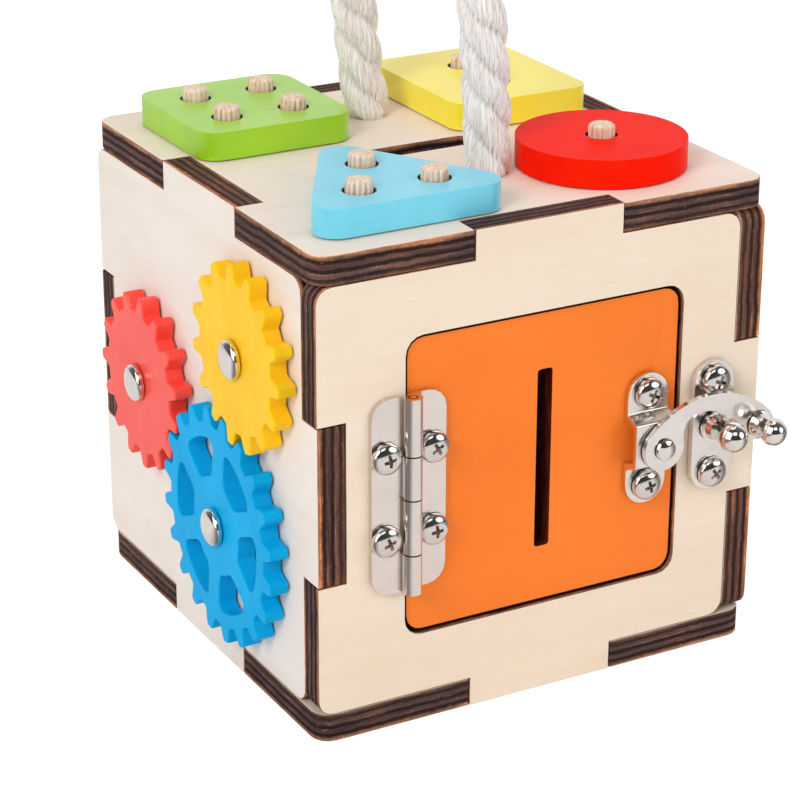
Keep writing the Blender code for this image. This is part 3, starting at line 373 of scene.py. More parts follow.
def new_material(name):
    material = bpy.data.materials.new(name)
    material.use_nodes = True
    material.node_tree.nodes.clear()
    return material, material.node_tree


def finished(material, inputs):
    """The material with its Principled surface; uniform values go on the shader's own sockets."""
    shader = wired(material.node_tree, "ShaderNodeBsdfPrincipled", inputs)
    node(material.node_tree, "ShaderNodeOutputMaterial", {"Surface": shader})
    return material


def noise(tree, place, detail=3.0, roughness=0.5, distortion=0.0):
    return wired(tree, "ShaderNodeTexNoise", {
        "Vector": place, "Scale": 1.0, "Detail": detail, "Roughness": roughness, "Distortion": distortion})


def coordinate(tree, kind):
    return node(tree, "ShaderNodeTexCoord").outputs[kind]


def speckle(tree, scales, detail=3.0, roughness=0.5, distortion=0.0):
    """Noise on Object coordinates; its scales, one or three, are in cycles per metre."""
    scales = scales if isinstance(scales, tuple) else (scales, scales, scales)
    place = wired(tree, "ShaderNodeMapping", {"Vector": coordinate(tree, "Object"), "Scale": scales})
    return noise(tree, place, detail, roughness, distortion)


def streaks(tree, axis, along, across, detail=3.0, roughness=0.5, distortion=0.0):
    """Noise that runs long along one axis and fine across it."""
    scales = tuple(along if place == axis else across for place in range(3))
    return speckle(tree, scales, detail, roughness, distortion)


def bump(tree, height, strength, distance, normal=None):
    inputs = {"Height": height, "Strength": strength, "Distance": distance}
    if normal is not None:
        inputs["Normal"] = normal
    return wired(tree, "ShaderNodeBump", inputs)


def mark_of(tree, name):
    """Value that the mesh stores under a name."""
    return node(tree, "ShaderNodeAttribute", attribute_name=name).outputs["Fac"]


# Materials

def wood_grain(tree, grain_axis, seed):
    """Grain value, about 0.5 on average, that runs along an axis."""
    broad = streaks(tree, grain_axis, 9.0, 110.0, 3.0, 0.55, 0.4)
    fine = streaks(tree, grain_axis, 90.0 + seed, 1500.0, 2.0, 0.6)
    cloud = streaks(tree, grain_axis, 38.0, 60.0, 3.0, 0.6)
    return blended(tree, (broad, 0.45), (fine, 0.25), (cloud, 0.30))


def burnt_layers(tree, depth, thin_axis, burn):
    """Laser-burnt ply edge: layers by depth, broken by long streaks, short ticks and chips."""
    streak = streaks(tree, thin_axis, 3000.0, 130.0, 4.0, 0.75)
    tick = streaks(tree, thin_axis, 420.0, 2600.0, 2.0, 0.6)
    chip = streaks(tree, thin_axis, 1500.0, 700.0, 3.0, 0.7)
    patch = speckle(tree, 75.0, 2.0)
    waver = streaks(tree, thin_axis, 90.0, 170.0, 4.0, 0.65)
    waver = times(tree, minus(tree, waver, 0.5), EDGE_WAVER)
    edge = ramp(tree, plus(tree, depth, waver), EDGE_LAYERS)
    edge = mix(tree, 1.0, edge, ramp(tree, patch, EDGE_WARMTH), "MULTIPLY")
    edge = mix(tree, 1.0, edge, burn, "MULTIPLY")
    edge = mix(tree, 1.0, edge, ramp(tree, streak, EDGE_SOOT), "MULTIPLY")
    edge = mix(tree, 0.45, edge, ramp(tree, tick, EDGE_TICKS), "MULTIPLY")
    return mix(tree, fit(tree, chip, 0.64, 0.74, 0.0, 0.60), edge, "A58C80"), streak


def face_share(tree, thin_axis):
    """One on the flat faces, none on the cut edges."""
    normal = split(tree, coordinate(tree, "Normal"))[thin_axis]
    return fit(tree, maths(tree, "ABSOLUTE", normal), 0.72, 0.88)


def plywood(name, thin_axis, outer_face, inward, grain_axis, tone, burn):
    """Birch faces and burnt edges whose layers follow the depth below the outer face."""
    material, tree = new_material(name)
    grain = wood_grain(tree, grain_axis, thin_axis)
    face = ramp(tree, grain, ((0.34, tone[0]), (0.50, tone[1]), (0.66, tone[2])))
    blotch = streaks(tree, grain_axis, 14.0, 34.0, 2.0)
    face = mix(tree, times(tree, blotch, 0.22), face, tone[3])
    pores = streaks(tree, grain_axis, 130.0, 2400.0, 1.0)
    face = mix(tree, fit(tree, pores, 0.68, 0.78, 0.0, 0.22), face, "C9A889")

    place = split(tree, coordinate(tree, "Object"))[thin_axis]
    depth = times(tree, minus(tree, place, outer_face), inward / PLY)
    edge, streak = burnt_layers(tree, depth, thin_axis, burn)
    edge = mix(tree, mark_of(tree, "burnt"), edge, "5A1C10")
    is_face = face_share(tree, thin_axis)
    return finished(material, {
        "Base Color": mix(tree, is_face, edge, face), "Specular IOR Level": 0.3,
        "Roughness": fit(tree, is_face, 0.0, 1.0, 0.8, 0.55),
        "Normal": bump(tree, streak, 0.4, 0.0003, bump(tree, grain, 0.10, 0.00015))})


def painted_wood(name, light, deep, grain_axis, gloss, bloom):
    """Lacquered paint with faint wood grain under it, near-black on the marked walls of a block's peg
    holes: painted shade of the gap round each peg.
    """
    material, tree = new_material(name)
    grain = wood_grain(tree, grain_axis, 1)
    blend = blended(tree, (grain, 0.6), (speckle(tree, 80.0), 0.4))
    shade = ramp(tree, blend, ((0.36, deep), (0.62, light)))
    orange_peel = speckle(tree, 1500.0, 2.0)
    # Near-black on the marked peg-hole walls: painted shade of the gap round each peg.
    return finished(material, {
        "Base Color": mix(tree, mark_of(tree, "burnt"), shade, "1E1310"),
        "Specular IOR Level": gloss, "Roughness": 0.3, "Sheen Weight": bloom, "Sheen Roughness": 0.35,
        "Normal": bump(tree, orange_peel, 0.06, 0.00008, bump(tree, grain, 0.16, 0.00015))})


def painted_ply(name, light, deep, thin_axis, grain_axis):
    """Painted face on burnt ply edges."""
    material, tree = new_material(name)
    grain = wood_grain(tree, grain_axis, 2)
    blend = blended(tree, (grain, 0.5), (speckle(tree, 45.0, 2.0), 0.5))
    shade = ramp(tree, blend, ((0.36, deep), (0.62, light)))
    streak = streaks(tree, thin_axis, 2600.0, 150.0)
    edge = ramp(tree, streak, ((0.35, "3A110A"), (0.55, "4E1A0E"), (0.75, "7A3C22")))
    return finished(material, {
        "Base Color": mix(tree, face_share(tree, thin_axis), edge, shade),
        "Specular IOR Level": 0.18, "Roughness": 0.45, "Normal": bump(tree, grain, 0.12, 0.00015)})


def bare_beech(name):
    """Unpainted beech, with painted shade darkening the flutes."""
    material, tree = new_material(name)
    pores = speckle(tree, (1500.0, 1500.0, 190.0), 3.0, 0.65)
    shade = ramp(tree, pores, ((0.28, "C08E6C"), (0.40, "E2C2A6"), (0.55, "EFD9C6"), (0.75, "F6E8DB")))
    return finished(material, {
        "Base Color": mix(tree, mark_of(tree, "groove"), shade, "A8744E"),
        "Roughness": 0.6, "Specular IOR Level": 0.3, "Normal": bump(tree, pores, 0.35, 0.00015)})


def metal(name, shade, roughness, brushed_axis=None):
    """Plated metal with faint wear; brushed along an axis when one is given, with painted shade darkening
    a recess.
    """
    material, tree = new_material(name)
    smear = speckle(tree, 260.0)
    tint = mix(tree, times(tree, smear, 0.3), shade, "A79E96")
    if brushed_axis is None:
        texture = bump(tree, speckle(tree, 900.0, 2.0), 0.03, 0.00006)
    else:
        texture = bump(tree, streaks(tree, brushed_axis, 120.0, 6000.0, 2.0), 0.10, 0.00006)
    # A marked recess turns dark grey: painted shade.
    return finished(material, {
        "Base Color": mix(tree, mark_of(tree, "recess"), tint, "6E625A"), "Metallic": 1.0,
        "Roughness": fit(tree, smear, 0.0, 1.0, roughness * 0.7, roughness * 1.4),
        "Normal": texture})


def cotton(name):
    """Twisted cotton: pale yarns with mauve-grey shade between them and fine fibres along them."""
    material, tree = new_material(name)
    along = mark_of(tree, "along")
    around = mark_of(tree, "around")

    def fibres(fineness, reach):
        return noise(tree, wrapped(tree, around, fineness, times(tree, along, reach)), 3.0, 0.65)

    fine = fibres(21.0, 190.0)
    shade = ramp(tree, fine, ((0.30, "E9DCD5"), (0.42, "FAF4F0"), (0.55, "FFFCFA"), (0.75, "FFFFFF")))
    shade = mix(tree, times(tree, speckle(tree, 210.0), 0.22), shade, "FBF0E8")
    line = maths(tree, "ABSOLUTE", minus(tree, fibres(10.0, 75.0), 0.5))
    line = minus(tree, 0.52, times(tree, line, 14.0), clamp=True)
    shade = mix(tree, line, shade, "A0857A")
    return finished(material, {
        "Base Color": mix(tree, mark_of(tree, "valley"), shade, "A68F86"),
        "Roughness": 0.95, "Specular IOR Level": 0.1, "Sheen Weight": 0.35, "Sheen Roughness": 0.6,
        "Subsurface Weight": 0.35, "Subsurface Radius": (1.0, 0.85, 0.75), "Subsurface Scale": 0.0015,
        "Normal": bump(tree, fine, 0.35, 0.0003)})


# Meshes

def arc(centre_x, centre_y, radius, start, end, steps):
    """Points along an arc, both ends included."""
    angles = [start + (end - start) * step / steps for step in range(steps + 1)]
    return [(centre_x + radius * cos(angle), centre_y + radius * sin(angle)) for angle in angles]


def circle(centre_x, centre_y, radius, sides=FINE_SIDES // 2):
    return arc(centre_x, centre_y, radius, 0, tau, sides)[:-1]


def rounded(corners):
    """Outline through (x, y, radius) corners that turn left, each rounded by its radius."""
    points = []
    for index, (x, y, radius) in enumerate(corners):
        corner = Vector((x, y))
        back = (Vector(corners[index - 1][:2]) - corner).normalized()
        ahead = (Vector(corners[(index + 1) % len(corners)][:2]) - corner).normalized()
        half_angle = back.angle(ahead) / 2
        centre = corner + (back + ahead).normalized() * radius / sin(half_angle)
        sweep = pi - 2 * half_angle
        outward = atan2(-(back + ahead).y, -(back + ahead).x)
        points += arc(centre.x, centre.y, radius, outward - sweep / 2, outward + sweep / 2, CORNER_STEPS)
    return points


def rounded_box(width, depth, radius):
    return rounded([(x * width / 2, y * depth / 2, radius) for x, y in CORNERS])


def weld(mesh):
    """The mesh with its doubles merged, its flat faces joined and its normals outward."""
    shape = bmesh.new()
    shape.from_mesh(mesh)
    bmesh.ops.remove_doubles(shape, verts=shape.verts, dist=WELD)
    bmesh.ops.dissolve_limit(shape, angle_limit=FLAT_ANGLE, verts=shape.verts, edges=shape.edges)
    bmesh.ops.recalc_face_normals(shape, faces=shape.faces)
    shape.to_mesh(mesh)
    shape.free()
    return mesh


def added(name, data):
    """A new object in the scene."""
    made = bpy.data.objects.new(name, data)
    bpy.context.scene.collection.objects.link(made)
    return made


def evaluated(source):
    """Plain mesh of an object with its modifiers; the object is used up."""
    bpy.context.view_layer.update()
    graph = bpy.context.evaluated_depsgraph_get()
    mesh = bpy.data.meshes.new_from_object(source.evaluated_get(graph), depsgraph=graph)
    bpy.data.objects.remove(source)
    return mesh


def eased(mesh, width, segments=3, angle=EASED_ANGLE):
    """The mesh with its sharp edges rounded."""
    source = added("eased", mesh)
    mesh.shade_smooth()
    mesh.set_sharp_from_angle(angle=SHARP_CUT)
    bevel = source.modifiers.new("Edges", "BEVEL")
    bevel.width = width
    bevel.segments = segments
    bevel.limit_method = "ANGLE"
    bevel.angle_limit = angle
    bevel.harden_normals = True
    return evaluated(source)


def plate_mesh(outlines, thickness):
    """Flat piece from z = 0 to its thickness, the outer outline first and then its holes."""
    curve = bpy.data.curves.new("plate", "CURVE")
    curve.dimensions = "2D"
    curve.fill_mode = "BOTH"
    curve.extrude = thickness / 2
    for outline in outlines:
        spline = curve.splines.new("POLY")
        spline.points.add(len(outline) - 1)
        for point, (x, y) in zip(spline.points, outline):
            point.co = (x, y, 0, 1)
        spline.use_cyclic_u = True
    mesh = evaluated(added("plate", curve))
    mesh.transform(Matrix.Translation((0, 0, thickness / 2)))
    return weld(mesh)


def turned_mesh(profile, sides=FINE_SIDES):
    """Turned piece about Z from a (radius, height) profile, top first."""
    shape = bmesh.new()
    rings = []
    for radius, height in profile:
        ring = circle(0, 0, radius, sides) if radius else [(0, 0)]
        rings.append([shape.verts.new((x, y, height)) for x, y in ring])
    for upper, lower in zip(rings, rings[1:]):
        for side in range(sides):
            ahead = (side + 1) % sides
            corners = [upper[side % len(upper)], lower[side % len(lower)]]
            corners += [lower[ahead % len(lower)], upper[ahead % len(upper)]]
            shape.faces.new(list(dict.fromkeys(corners)))
    bmesh.ops.recalc_face_normals(shape, faces=shape.faces)
    mesh = bpy.data.meshes.new("turned")
    shape.to_mesh(mesh)
    shape.free()
    mesh.shade_smooth()
    mesh.set_sharp_from_angle(angle=SHARP_TURNING)
    return mesh


def domed(radius, rim, height, power=1.0):
    """Profile of a domed head, crown first, down to its foot at zero."""
    points = [(0, height)]
    for step in range(1, DOME_STEPS + 1):
        angle = pi / 2 * (1 - step / DOME_STEPS)
        points.append((radius * cos(angle), rim + (height - rim) * sin(angle) ** power))
    return points + [(radius, 0)]


def mark_burnt(mesh, chosen):
    """Stores one on the faces whose corners are chosen together, for a material to read."""
    marks = mesh.attributes.new("burnt", "FLOAT", "FACE")
    for face, mark in zip(mesh.polygons, marks.data):
        mark.value = float(chosen([mesh.vertices[corner].co for corner in face.vertices]))


def painted(mesh, material):
    mesh.materials.clear()
    mesh.materials.append(material)


def piece(name, mesh, material, body, nodes):
    """Adds a finished piece that rides on a body and stands for the CAD nodes."""
    mesh.name = name
    painted(mesh, material)
    made = added(name, mesh)
    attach(made, body)
    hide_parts(*nodes)
    return made


def dressed(node_name, material, body, edge, segments=2, burnt=None):
    """A copy of a CAD node with its edges eased, and its burnt faces marked."""
    mesh = eased(weld(NODES[node_name].data.copy()), edge, segments)
    if burnt:
        mark_burnt(mesh, burnt)
    return piece(node_name + "_finish", mesh, material, body, [node_name])


def left_matrix(across, rise, height):
    """From a piece that stands on its own XY plane to its place on the left panel."""
    place = Matrix.Translation((-HALF - height, -across, rise))
    return place @ Matrix.Rotation(-pi / 2, 4, "Z") @ Matrix.Rotation(pi / 2, 4, "X")


# Geometry node trees

def new_tree(name, **inputs):
    """A tree with named inputs, given by their kind, and a geometry output."""
    tree = bpy.data.node_groups.new(name, "GeometryNodeTree")
    tree.interface.new_socket("Geometry", in_out="INPUT", socket_type="NodeSocketGeometry")
    for kind, labels in inputs.items():
        for label in labels:
            tree.interface.new_socket(label, in_out="INPUT", socket_type="NodeSocket" + kind)
    tree.interface.new_socket("Geometry", in_out="OUTPUT", socket_type="NodeSocketGeometry")
    return tree, tree.nodes.new("NodeGroupInput").outputs


def finish_tree(tree, geometry, material):
    """Ends a tree in plain geometry that has its material."""
    realized = built(tree, "RealizeInstances", {0: geometry})
    coated = built(tree, "SetMaterial", {0: realized, "Material": material})
    node(tree, "NodeGroupOutput", {0: coated})


def read(tree, name, data_type="FLOAT"):
    return built(tree, "InputNamedAttribute", {"Name": name}, data_type=data_type)


def store(tree, geometry, name, value, data_type="FLOAT"):
    return built(tree, "StoreNamedAttribute", {
        "Geometry": geometry, "Name": name, "Value": value}, data_type=data_type, domain="POINT")


def moved(tree, geometry, place):
    return built(tree, "SetPosition", {"Geometry": geometry, "Position": place})


def joined(tree, parts):
    collected = node(tree, "GeometryNodeJoinGeometry")
    for part in parts:
        tree.links.new(part, collected.inputs[0])
    return collected.outputs[0]


def swung(tree, share):
    """One at both ends of a share that runs from 0 to 1, none half way."""
    return maths(tree, "ABSOLUTE", minus(tree, times(tree, share, 2.0), 1.0))


def grown(tree, source, values):
    """Plain mesh that a tree makes from a source object and its named inputs."""
    modifier = source.modifiers.new("Nodes", "NODES")
    modifier.node_group = tree
    for item in tree.interface.items_tree:
        if item.name in values:
            modifier[item.identifier] = values[item.name]
    mesh = evaluated(source)
    mesh.shade_smooth()
    return mesh


def stood_tree():
    """A piece stood on each point and turned about an axis by the point's own angle."""
    tree, inputs = new_tree("stood_pieces", Object=["Piece"], Vector=["Axis"], Material=["Material"])
    shape = node(tree, "GeometryNodeObjectInfo", {"Object": inputs["Piece"]}).outputs["Geometry"]
    turn = wired(tree, "FunctionNodeAxisAngleToRotation", {
        "Axis": inputs["Axis"], "Angle": read(tree, "turn")})
    stood = built(tree, "InstanceOnPoints", {
        "Points": inputs["Geometry"], "Instance": shape, "Rotation": turn})
    finish_tree(tree, stood, inputs["Material"])
    return tree


def stand(tree, mesh, axis, places, turns, material):
    """Stands a copy of the mesh at each place, turned by its own angle."""
    model = added("model", mesh)
    points = bpy.data.meshes.new("places")
    points.from_pydata([tuple(place) for place in places], [], [])
    turn = points.attributes.new("turn", "FLOAT", "POINT")
    turn.data.foreach_set("value", turns)
    result = grown(tree, added("places", points), {"Piece": model, "Axis": axis, "Material": material})
    bpy.data.objects.remove(model)
    result.set_sharp_from_angle(angle=SHARP_ANGLE)
    return result


def window_curve(tree):
    """Outline of one gear window: a rounded box bent round the hub, with parallel spokes beside it."""
    middle = (WINDOW_OUTER + WINDOW_INNER) / 2
    reach = pi / WINDOWS
    half_span = reach * middle - SPOKE_WIDTH / 2
    outline = built(tree, "CurvePrimitiveQuadrilateral", {
        "Width": 2 * half_span, "Height": WINDOW_OUTER - WINDOW_INNER})
    outline = built(tree, "FilletCurve", {
        "Curve": outline, "Count": CORNER_STEPS, "Radius": WINDOW_CORNER}, mode="POLY")
    outline = built(tree, "ResampleCurve", {"Curve": outline, "Count": WINDOW_POINTS})
    flat = split(tree, built(tree, "InputPosition"))
    out = plus(tree, flat[1], middle)
    half_spoke = maths(tree, "ARCSINE", maths(tree, "DIVIDE", SPOKE_WIDTH / 2, out))
    half_angle = minus(tree, reach, half_spoke)
    swept = times(tree, maths(tree, "DIVIDE", flat[0], half_span), half_angle)
    x = times(tree, out, maths(tree, "COSINE", swept))
    y = times(tree, out, maths(tree, "SINE", swept))
    return moved(tree, outline, vector(tree, x, y))


def gear_tree():
    """Gear blank: smooth teeth on a circle, a bore, and windows between parallel spokes."""
    tree, inputs = new_tree("gear", Int=["Teeth", "Windows"], Material=["Material"], Float=[
        "Tip Radius", "Root Radius", "Phase", "Bore Radius", "Thickness"])
    count = times(tree, inputs["Teeth"], float(GEAR_FINENESS))
    rim = built(tree, "CurvePrimitiveCircle", {"Resolution": count, "Radius": 1.0})
    place = built(tree, "InputPosition")
    parts = split(tree, place)
    angle = maths(tree, "ARCTAN2", parts[1], parts[0])
    turns = maths(tree, "DIVIDE", minus(tree, angle, inputs["Phase"]), tau)
    tooth = maths(tree, "FRACT", times(tree, turns, inputs["Teeth"]))
    from_tip = minus(tree, 1.0, swung(tree, tooth))
    radius = wired(tree, "ShaderNodeMapRange", {
        0: from_tip, 1: TOOTH_TIP_SHARE, 2: TOOTH_ROOT_SHARE,
        3: inputs["Tip Radius"], 4: inputs["Root Radius"]}, interpolation_type="SMOOTHSTEP")
    rim = moved(tree, rim, vector_maths(tree, "SCALE", place, scale=radius))
    bore = built(tree, "CurvePrimitiveCircle", {
        "Resolution": FINE_SIDES, "Radius": inputs["Bore Radius"]})

    hubs = built(tree, "Points", {"Count": inputs["Windows"]})
    order = built(tree, "InputIndex")
    turn = plus(tree, times(tree, order, tau / WINDOWS), WINDOW_PHASE)
    windows = built(tree, "InstanceOnPoints", {
        "Points": hubs, "Instance": window_curve(tree), "Rotation": vector(tree, z=turn)})
    windows = built(tree, "RealizeInstances", {0: windows})

    outlines = joined(tree, (windows, bore, rim))
    face = built(tree, "FillCurve", {"Curve": outlines}, mode="TRIANGLES")
    raised = built(tree, "ExtrudeMesh", {
        "Mesh": face, "Offset Scale": inputs["Thickness"], "Individual": False})
    under = built(tree, "FlipFaces", {0: face})
    closed = built(tree, "MergeByDistance", {"Geometry": joined(tree, (under, raised)), "Distance": WELD})
    finish_tree(tree, closed, inputs["Material"])
    return tree


def rope_tree():
    """Soft rope of laid strands along a path, whose point radius scales it."""
    tree, inputs = new_tree("laid_rope", Int=["Strands", "Sides"], Material=["Material"], Float=[
        "Rope Radius", "Lay", "Groove Depth", "Yarn Depth", "Step"])
    place = built(tree, "InputPosition")
    path = built(tree, "ResampleCurve", {
        "Curve": inputs["Geometry"], "Length": inputs["Step"]}, mode="LENGTH")
    path = store(tree, path, "along", node(tree, "GeometryNodeSplineParameter").outputs["Length"])
    path = store(tree, path, "swell", built(tree, "InputRadius"))
    path = store(tree, path, "centre", place, "FLOAT_VECTOR")
    section = built(tree, "CurvePrimitiveCircle", {
        "Resolution": inputs["Sides"], "Radius": inputs["Rope Radius"]})
    section = store(tree, section, "around", node(tree, "GeometryNodeSplineParameter").outputs["Factor"])
    skin = built(tree, "CurveToMesh", {"Curve": path, "Profile Curve": section, "Fill Caps": True})

    along = read(tree, "along")
    around = read(tree, "around")
    sway = noise(tree, vector_maths(tree, "SCALE", place, scale=SWAY_FINENESS), 2.0)
    sway = times(tree, minus(tree, sway, 0.5), ROPE_SWAY)
    twist = plus(tree, maths(tree, "DIVIDE", along, inputs["Lay"]), sway)
    strands = times(tree, plus(tree, around, twist), inputs["Strands"])
    across = maths(tree, "FRACT", strands)
    number = minus(tree, strands, across)
    edge = swung(tree, across)
    groove = maths(tree, "POWER", edge, GROOVE_SHARPNESS)

    height = maths(tree, "DIVIDE", along, YARN_REACH)
    height = plus(tree, height, times(tree, number, YARN_SHIFT))
    yarn = noise(tree, wrapped(tree, around, YARN_FINENESS, height), 2.0, 0.6)
    ridge = maths(tree, "ABSOLUTE", minus(tree, yarn, 0.5))
    ridge = maths(tree, "MINIMUM", times(tree, ridge, YARN_CREASE), 1.0)
    dip = minus(tree, 1.0, ridge)
    loss = blended(tree, (groove, inputs["Groove Depth"]), (dip, inputs["Yarn Depth"]))
    radius = times(tree, minus(tree, inputs["Rope Radius"], loss), read(tree, "swell"))
    centre = read(tree, "centre", "FLOAT_VECTOR")
    outward = vector_maths(tree, "NORMALIZE", vector_maths(tree, "SUBTRACT", place, centre))
    surface = vector_maths(tree, "ADD", centre, vector_maths(tree, "SCALE", outward, scale=radius))
    deep = maths(tree, "POWER", edge, VALLEY_SHARPNESS)
    valley = blended(tree, (dip, YARN_SHADE), (deep, GROOVE_SHADE))
    skin = moved(tree, store(tree, skin, "valley", valley), surface)
    finish_tree(tree, skin, inputs["Material"])
    return tree


# The scene, camera and rope first

def make_camera():
    data = bpy.data.cameras.new("camera")
    data.sensor_width = SENSOR_WIDTH
    data.lens = FOCAL_PIXELS * SENSOR_WIDTH / IMAGE_SIDE
    data.clip_start, data.clip_end = CAMERA_RANGE
    camera = added("camera", data)
    forward = CAMERA_FORWARD.normalized()
    right = forward.cross(Vector((0, 0, 1))).normalized()
    up = right.cross(forward)
    turn = Matrix((right, up, -forward)).transposed().to_4x4()
    camera.matrix_world = Matrix.Translation(CAMERA_PLACE) @ turn @ Matrix.Rotation(CAMERA_ROLL, 4, "Z")
    bpy.context.scene.camera = camera


def add_light(name, place, size, power, tint):
    data = bpy.data.lights.new(name, "AREA")
    data.shape = "DISK"
    data.size = size
    data.energy = power
    data.color = tint
    light = added(name, data)
    light.location = place
    light.rotation_euler = (Vector(LAMP_TARGET) - Vector(place)).to_track_quat("-Z", "Y").to_euler()


def soft_window(tree, direction, facing, half_width, half_height):
    """One where a direction of the world meets an upright soft box that faces the object."""
    ahead = Vector(facing).normalized()
    side = ahead.cross(Vector((0, 0, 1))).normalized()
    depth = along_direction(tree, direction, ahead)
    inside = maths(tree, "GREATER_THAN", depth, 0.0)
    for axis, half in ((side, half_width), (side.cross(ahead), half_height)):
        slope = maths(tree, "DIVIDE", along_direction(tree, direction, axis), depth)
        within = maths(tree, "LESS_THAN", maths(tree, "ABSOLUTE", slope), half)
        inside = times(tree, inside, within)
    return inside


def glow(tree, kind, shade, strength):
    return wired(tree, "ShaderNode" + kind, {"Color": shade, "Strength": strength})


def either(tree, factor, first, second):
    return wired(tree, "ShaderNodeMixShader", {0: factor, 1: first, 2: second})


def make_studio():
    """Lamps, a soft white sky, and a room that only shiny surfaces see."""
    scene = bpy.context.scene
    scene.view_settings.view_transform = "Standard"
    for lamp in LAMPS:
        add_light(*lamp)

    world = bpy.data.worlds.new("studio")
    scene.world = world
    world.use_nodes = True
    tree = world.node_tree
    tree.nodes.clear()
    rays = node(tree, "ShaderNodeLightPath").outputs
    direction = coordinate(tree, "Generated")
    room = ramp(tree, fit(tree, along_direction(tree, direction, BEHIND), -1.0, 1.0), ROOM)
    boxes = [soft_window(tree, direction, *box) for box in SOFT_BOXES]
    room = mix(tree, plus(tree, *boxes, clamp=True), room, SOFT_BOX_GLOW)
    soft = glow(tree, "Background", WHITE, SKY_STRENGTH)
    shiny = glow(tree, "Background", room, 1.0)
    plain = glow(tree, "Background", WHITE, 1.0)
    lit = either(tree, rays["Is Glossy Ray"], soft, shiny)
    node(tree, "ShaderNodeOutputWorld", {0: either(tree, rays["Is Camera Ray"], lit, plain)})


def make_floor():
    """White floor that fades into the sky and, for shiny surfaces, dims to the sides of the front."""
    mesh = bpy.data.meshes.new("floor")
    corners = [(FLOOR_REACH * x, FLOOR_REACH * y, -FLOOR_DROP) for x, y in CORNERS]
    mesh.from_pydata(corners, [], [(0, 1, 2, 3)])
    material, tree = new_material("pale_floor")
    matt = wired(tree, "ShaderNodeBsdfPrincipled", {
        "Base Color": as_colour(0.93), "Roughness": 0.9, "Specular IOR Level": 0.1})
    rays = node(tree, "ShaderNodeLightPath").outputs
    toward = split(tree, vector_maths(tree, "NORMALIZE", coordinate(tree, "Object")))
    in_front = fit(tree, toward[1], FLOOR_DIM_START, -FLOOR_DIM_START)
    dim = ramp(tree, fit(tree, toward[0], -1.0, 1.0), FLOOR_DIM)
    mirrored = times(tree, times(tree, rays["Is Glossy Ray"], dim), in_front)
    lift = times(tree, rays["Is Camera Ray"], FLOOR_LIFT)
    white = glow(tree, "Emission", WHITE, FLOOR_GLOW)
    dark = glow(tree, "Emission", FLOOR_SHADE, 1.0)
    seen = either(tree, mirrored, either(tree, lift, matt, white), dark)
    node(tree, "ShaderNodeOutputMaterial", {"Surface": seen})
    painted(mesh, material)
    added("floor", mesh)


def smooth_route(route):
    """Points along a smooth curve through the route, about one step of the rope apart."""
    knots = [Vector(point) for point in route]
    knots = [2 * knots[0] - knots[1]] + knots + [2 * knots[-1] - knots[-2]]
    points = []
    for before, start, end, after in zip(knots, knots[1:], knots[2:], knots[3:]):
        pieces = max(1, round((end - start).length / ROPE_STEP))
        for part in range(pieces):
            t = part / pieces
            bend = 2 * before - 5 * start + 4 * end - after
            twist = 3 * start - before - 3 * end + after
            points.append((2 * start + (end - before) * t + bend * t ** 2 + twist * t ** 3) / 2)
    points.append(knots[-2])
    return points


def path_object(points, swells):
    """Path for the rope tree; each point's radius scales the rope there."""
    curve = bpy.data.curves.new("path", "CURVE")
    curve.dimensions = "3D"
    curve.twist_mode = "MINIMUM"
    spline = curve.splines.new("POLY")
    spline.points.add(len(points) - 1)
    for knot, point, swell in zip(spline.points, points, swells):
        knot.co = (*point, 1)
        knot.radius = swell
    return added("path", curve)


def overhand_knot(top):
    """Route of an overhand knot that hangs from a point; its ring stands in the YZ plane."""
    points = [Vector((0, 0, 0))]
    middle = Vector((0, 0, -(KNOT_RING_RADIUS + KNOT_TUBE_RADIUS) - KNOT_HANG))
    for step in range(KNOT_POINTS + 1):
        turn = KNOT_START + KNOT_SWEEP * step / KNOT_POINTS
        reach = KNOT_RING_RADIUS + KNOT_TUBE_RADIUS * cos(3 * turn)
        points.append(middle + Vector((
            KNOT_TUBE_RADIUS * sin(3 * turn), reach * sin(2 * turn), reach * cos(2 * turn))))
    points.append(points[-1] + Vector(KNOT_TAIL))
    return [Vector(top) + point for point in points]


def make_rope(material):
    """The handle, slimmer where it enters the top panel, and the knot at each of its ends."""
    tree = rope_tree()
    values = {
        "Rope Radius": ROPE_DIAMETER / 2 + YARN_DEPTH / 2, "Strands": ROPE_STRANDS, "Lay": ROPE_LAY,
        "Groove Depth": GROOVE_DEPTH, "Yarn Depth": YARN_DEPTH, "Step": ROPE_STEP, "Sides": ROPE_SIDES,
        "Material": material}
    lift = Vector((0, 0, CUBE_SIDE))
    points = [point + lift for point in smooth_route(ROPE_ROUTE)]
    swells = []
    for point in points:
        rise = min(1.0, max(0.0, point.z - CUBE_SIDE) / ROPE_SWELL_LENGTH)
        swells.append(ROPE_WAIST_SHARE + (1 - ROPE_WAIST_SHARE) * rise)
    mesh = grown(tree, path_object(points, swells), values)
    rope = piece("rope", mesh, material, "box", ["rope_handle"])

    for side, end in (("front", ROPE_ROUTE[0]), ("back", ROPE_ROUTE[-1])):
        tied = smooth_route(overhand_knot(Vector(end) + lift))
        mesh = grown(tree, path_object(tied, [KNOT_ROPE_SHARE] * len(tied)), values)
        piece(f"{side}_knot", mesh, material, "box", [f"rope_knot_{side}"])


# The box

def in_doorway(corners):
    """Whether a face's corners are on the walls of the door's opening, below the outer face."""
    return all(max(abs(place.x), abs(place.z - HALF)) < DOORWAY_REACH and place.y > -HALF + GAP / 3
               for place in corners)


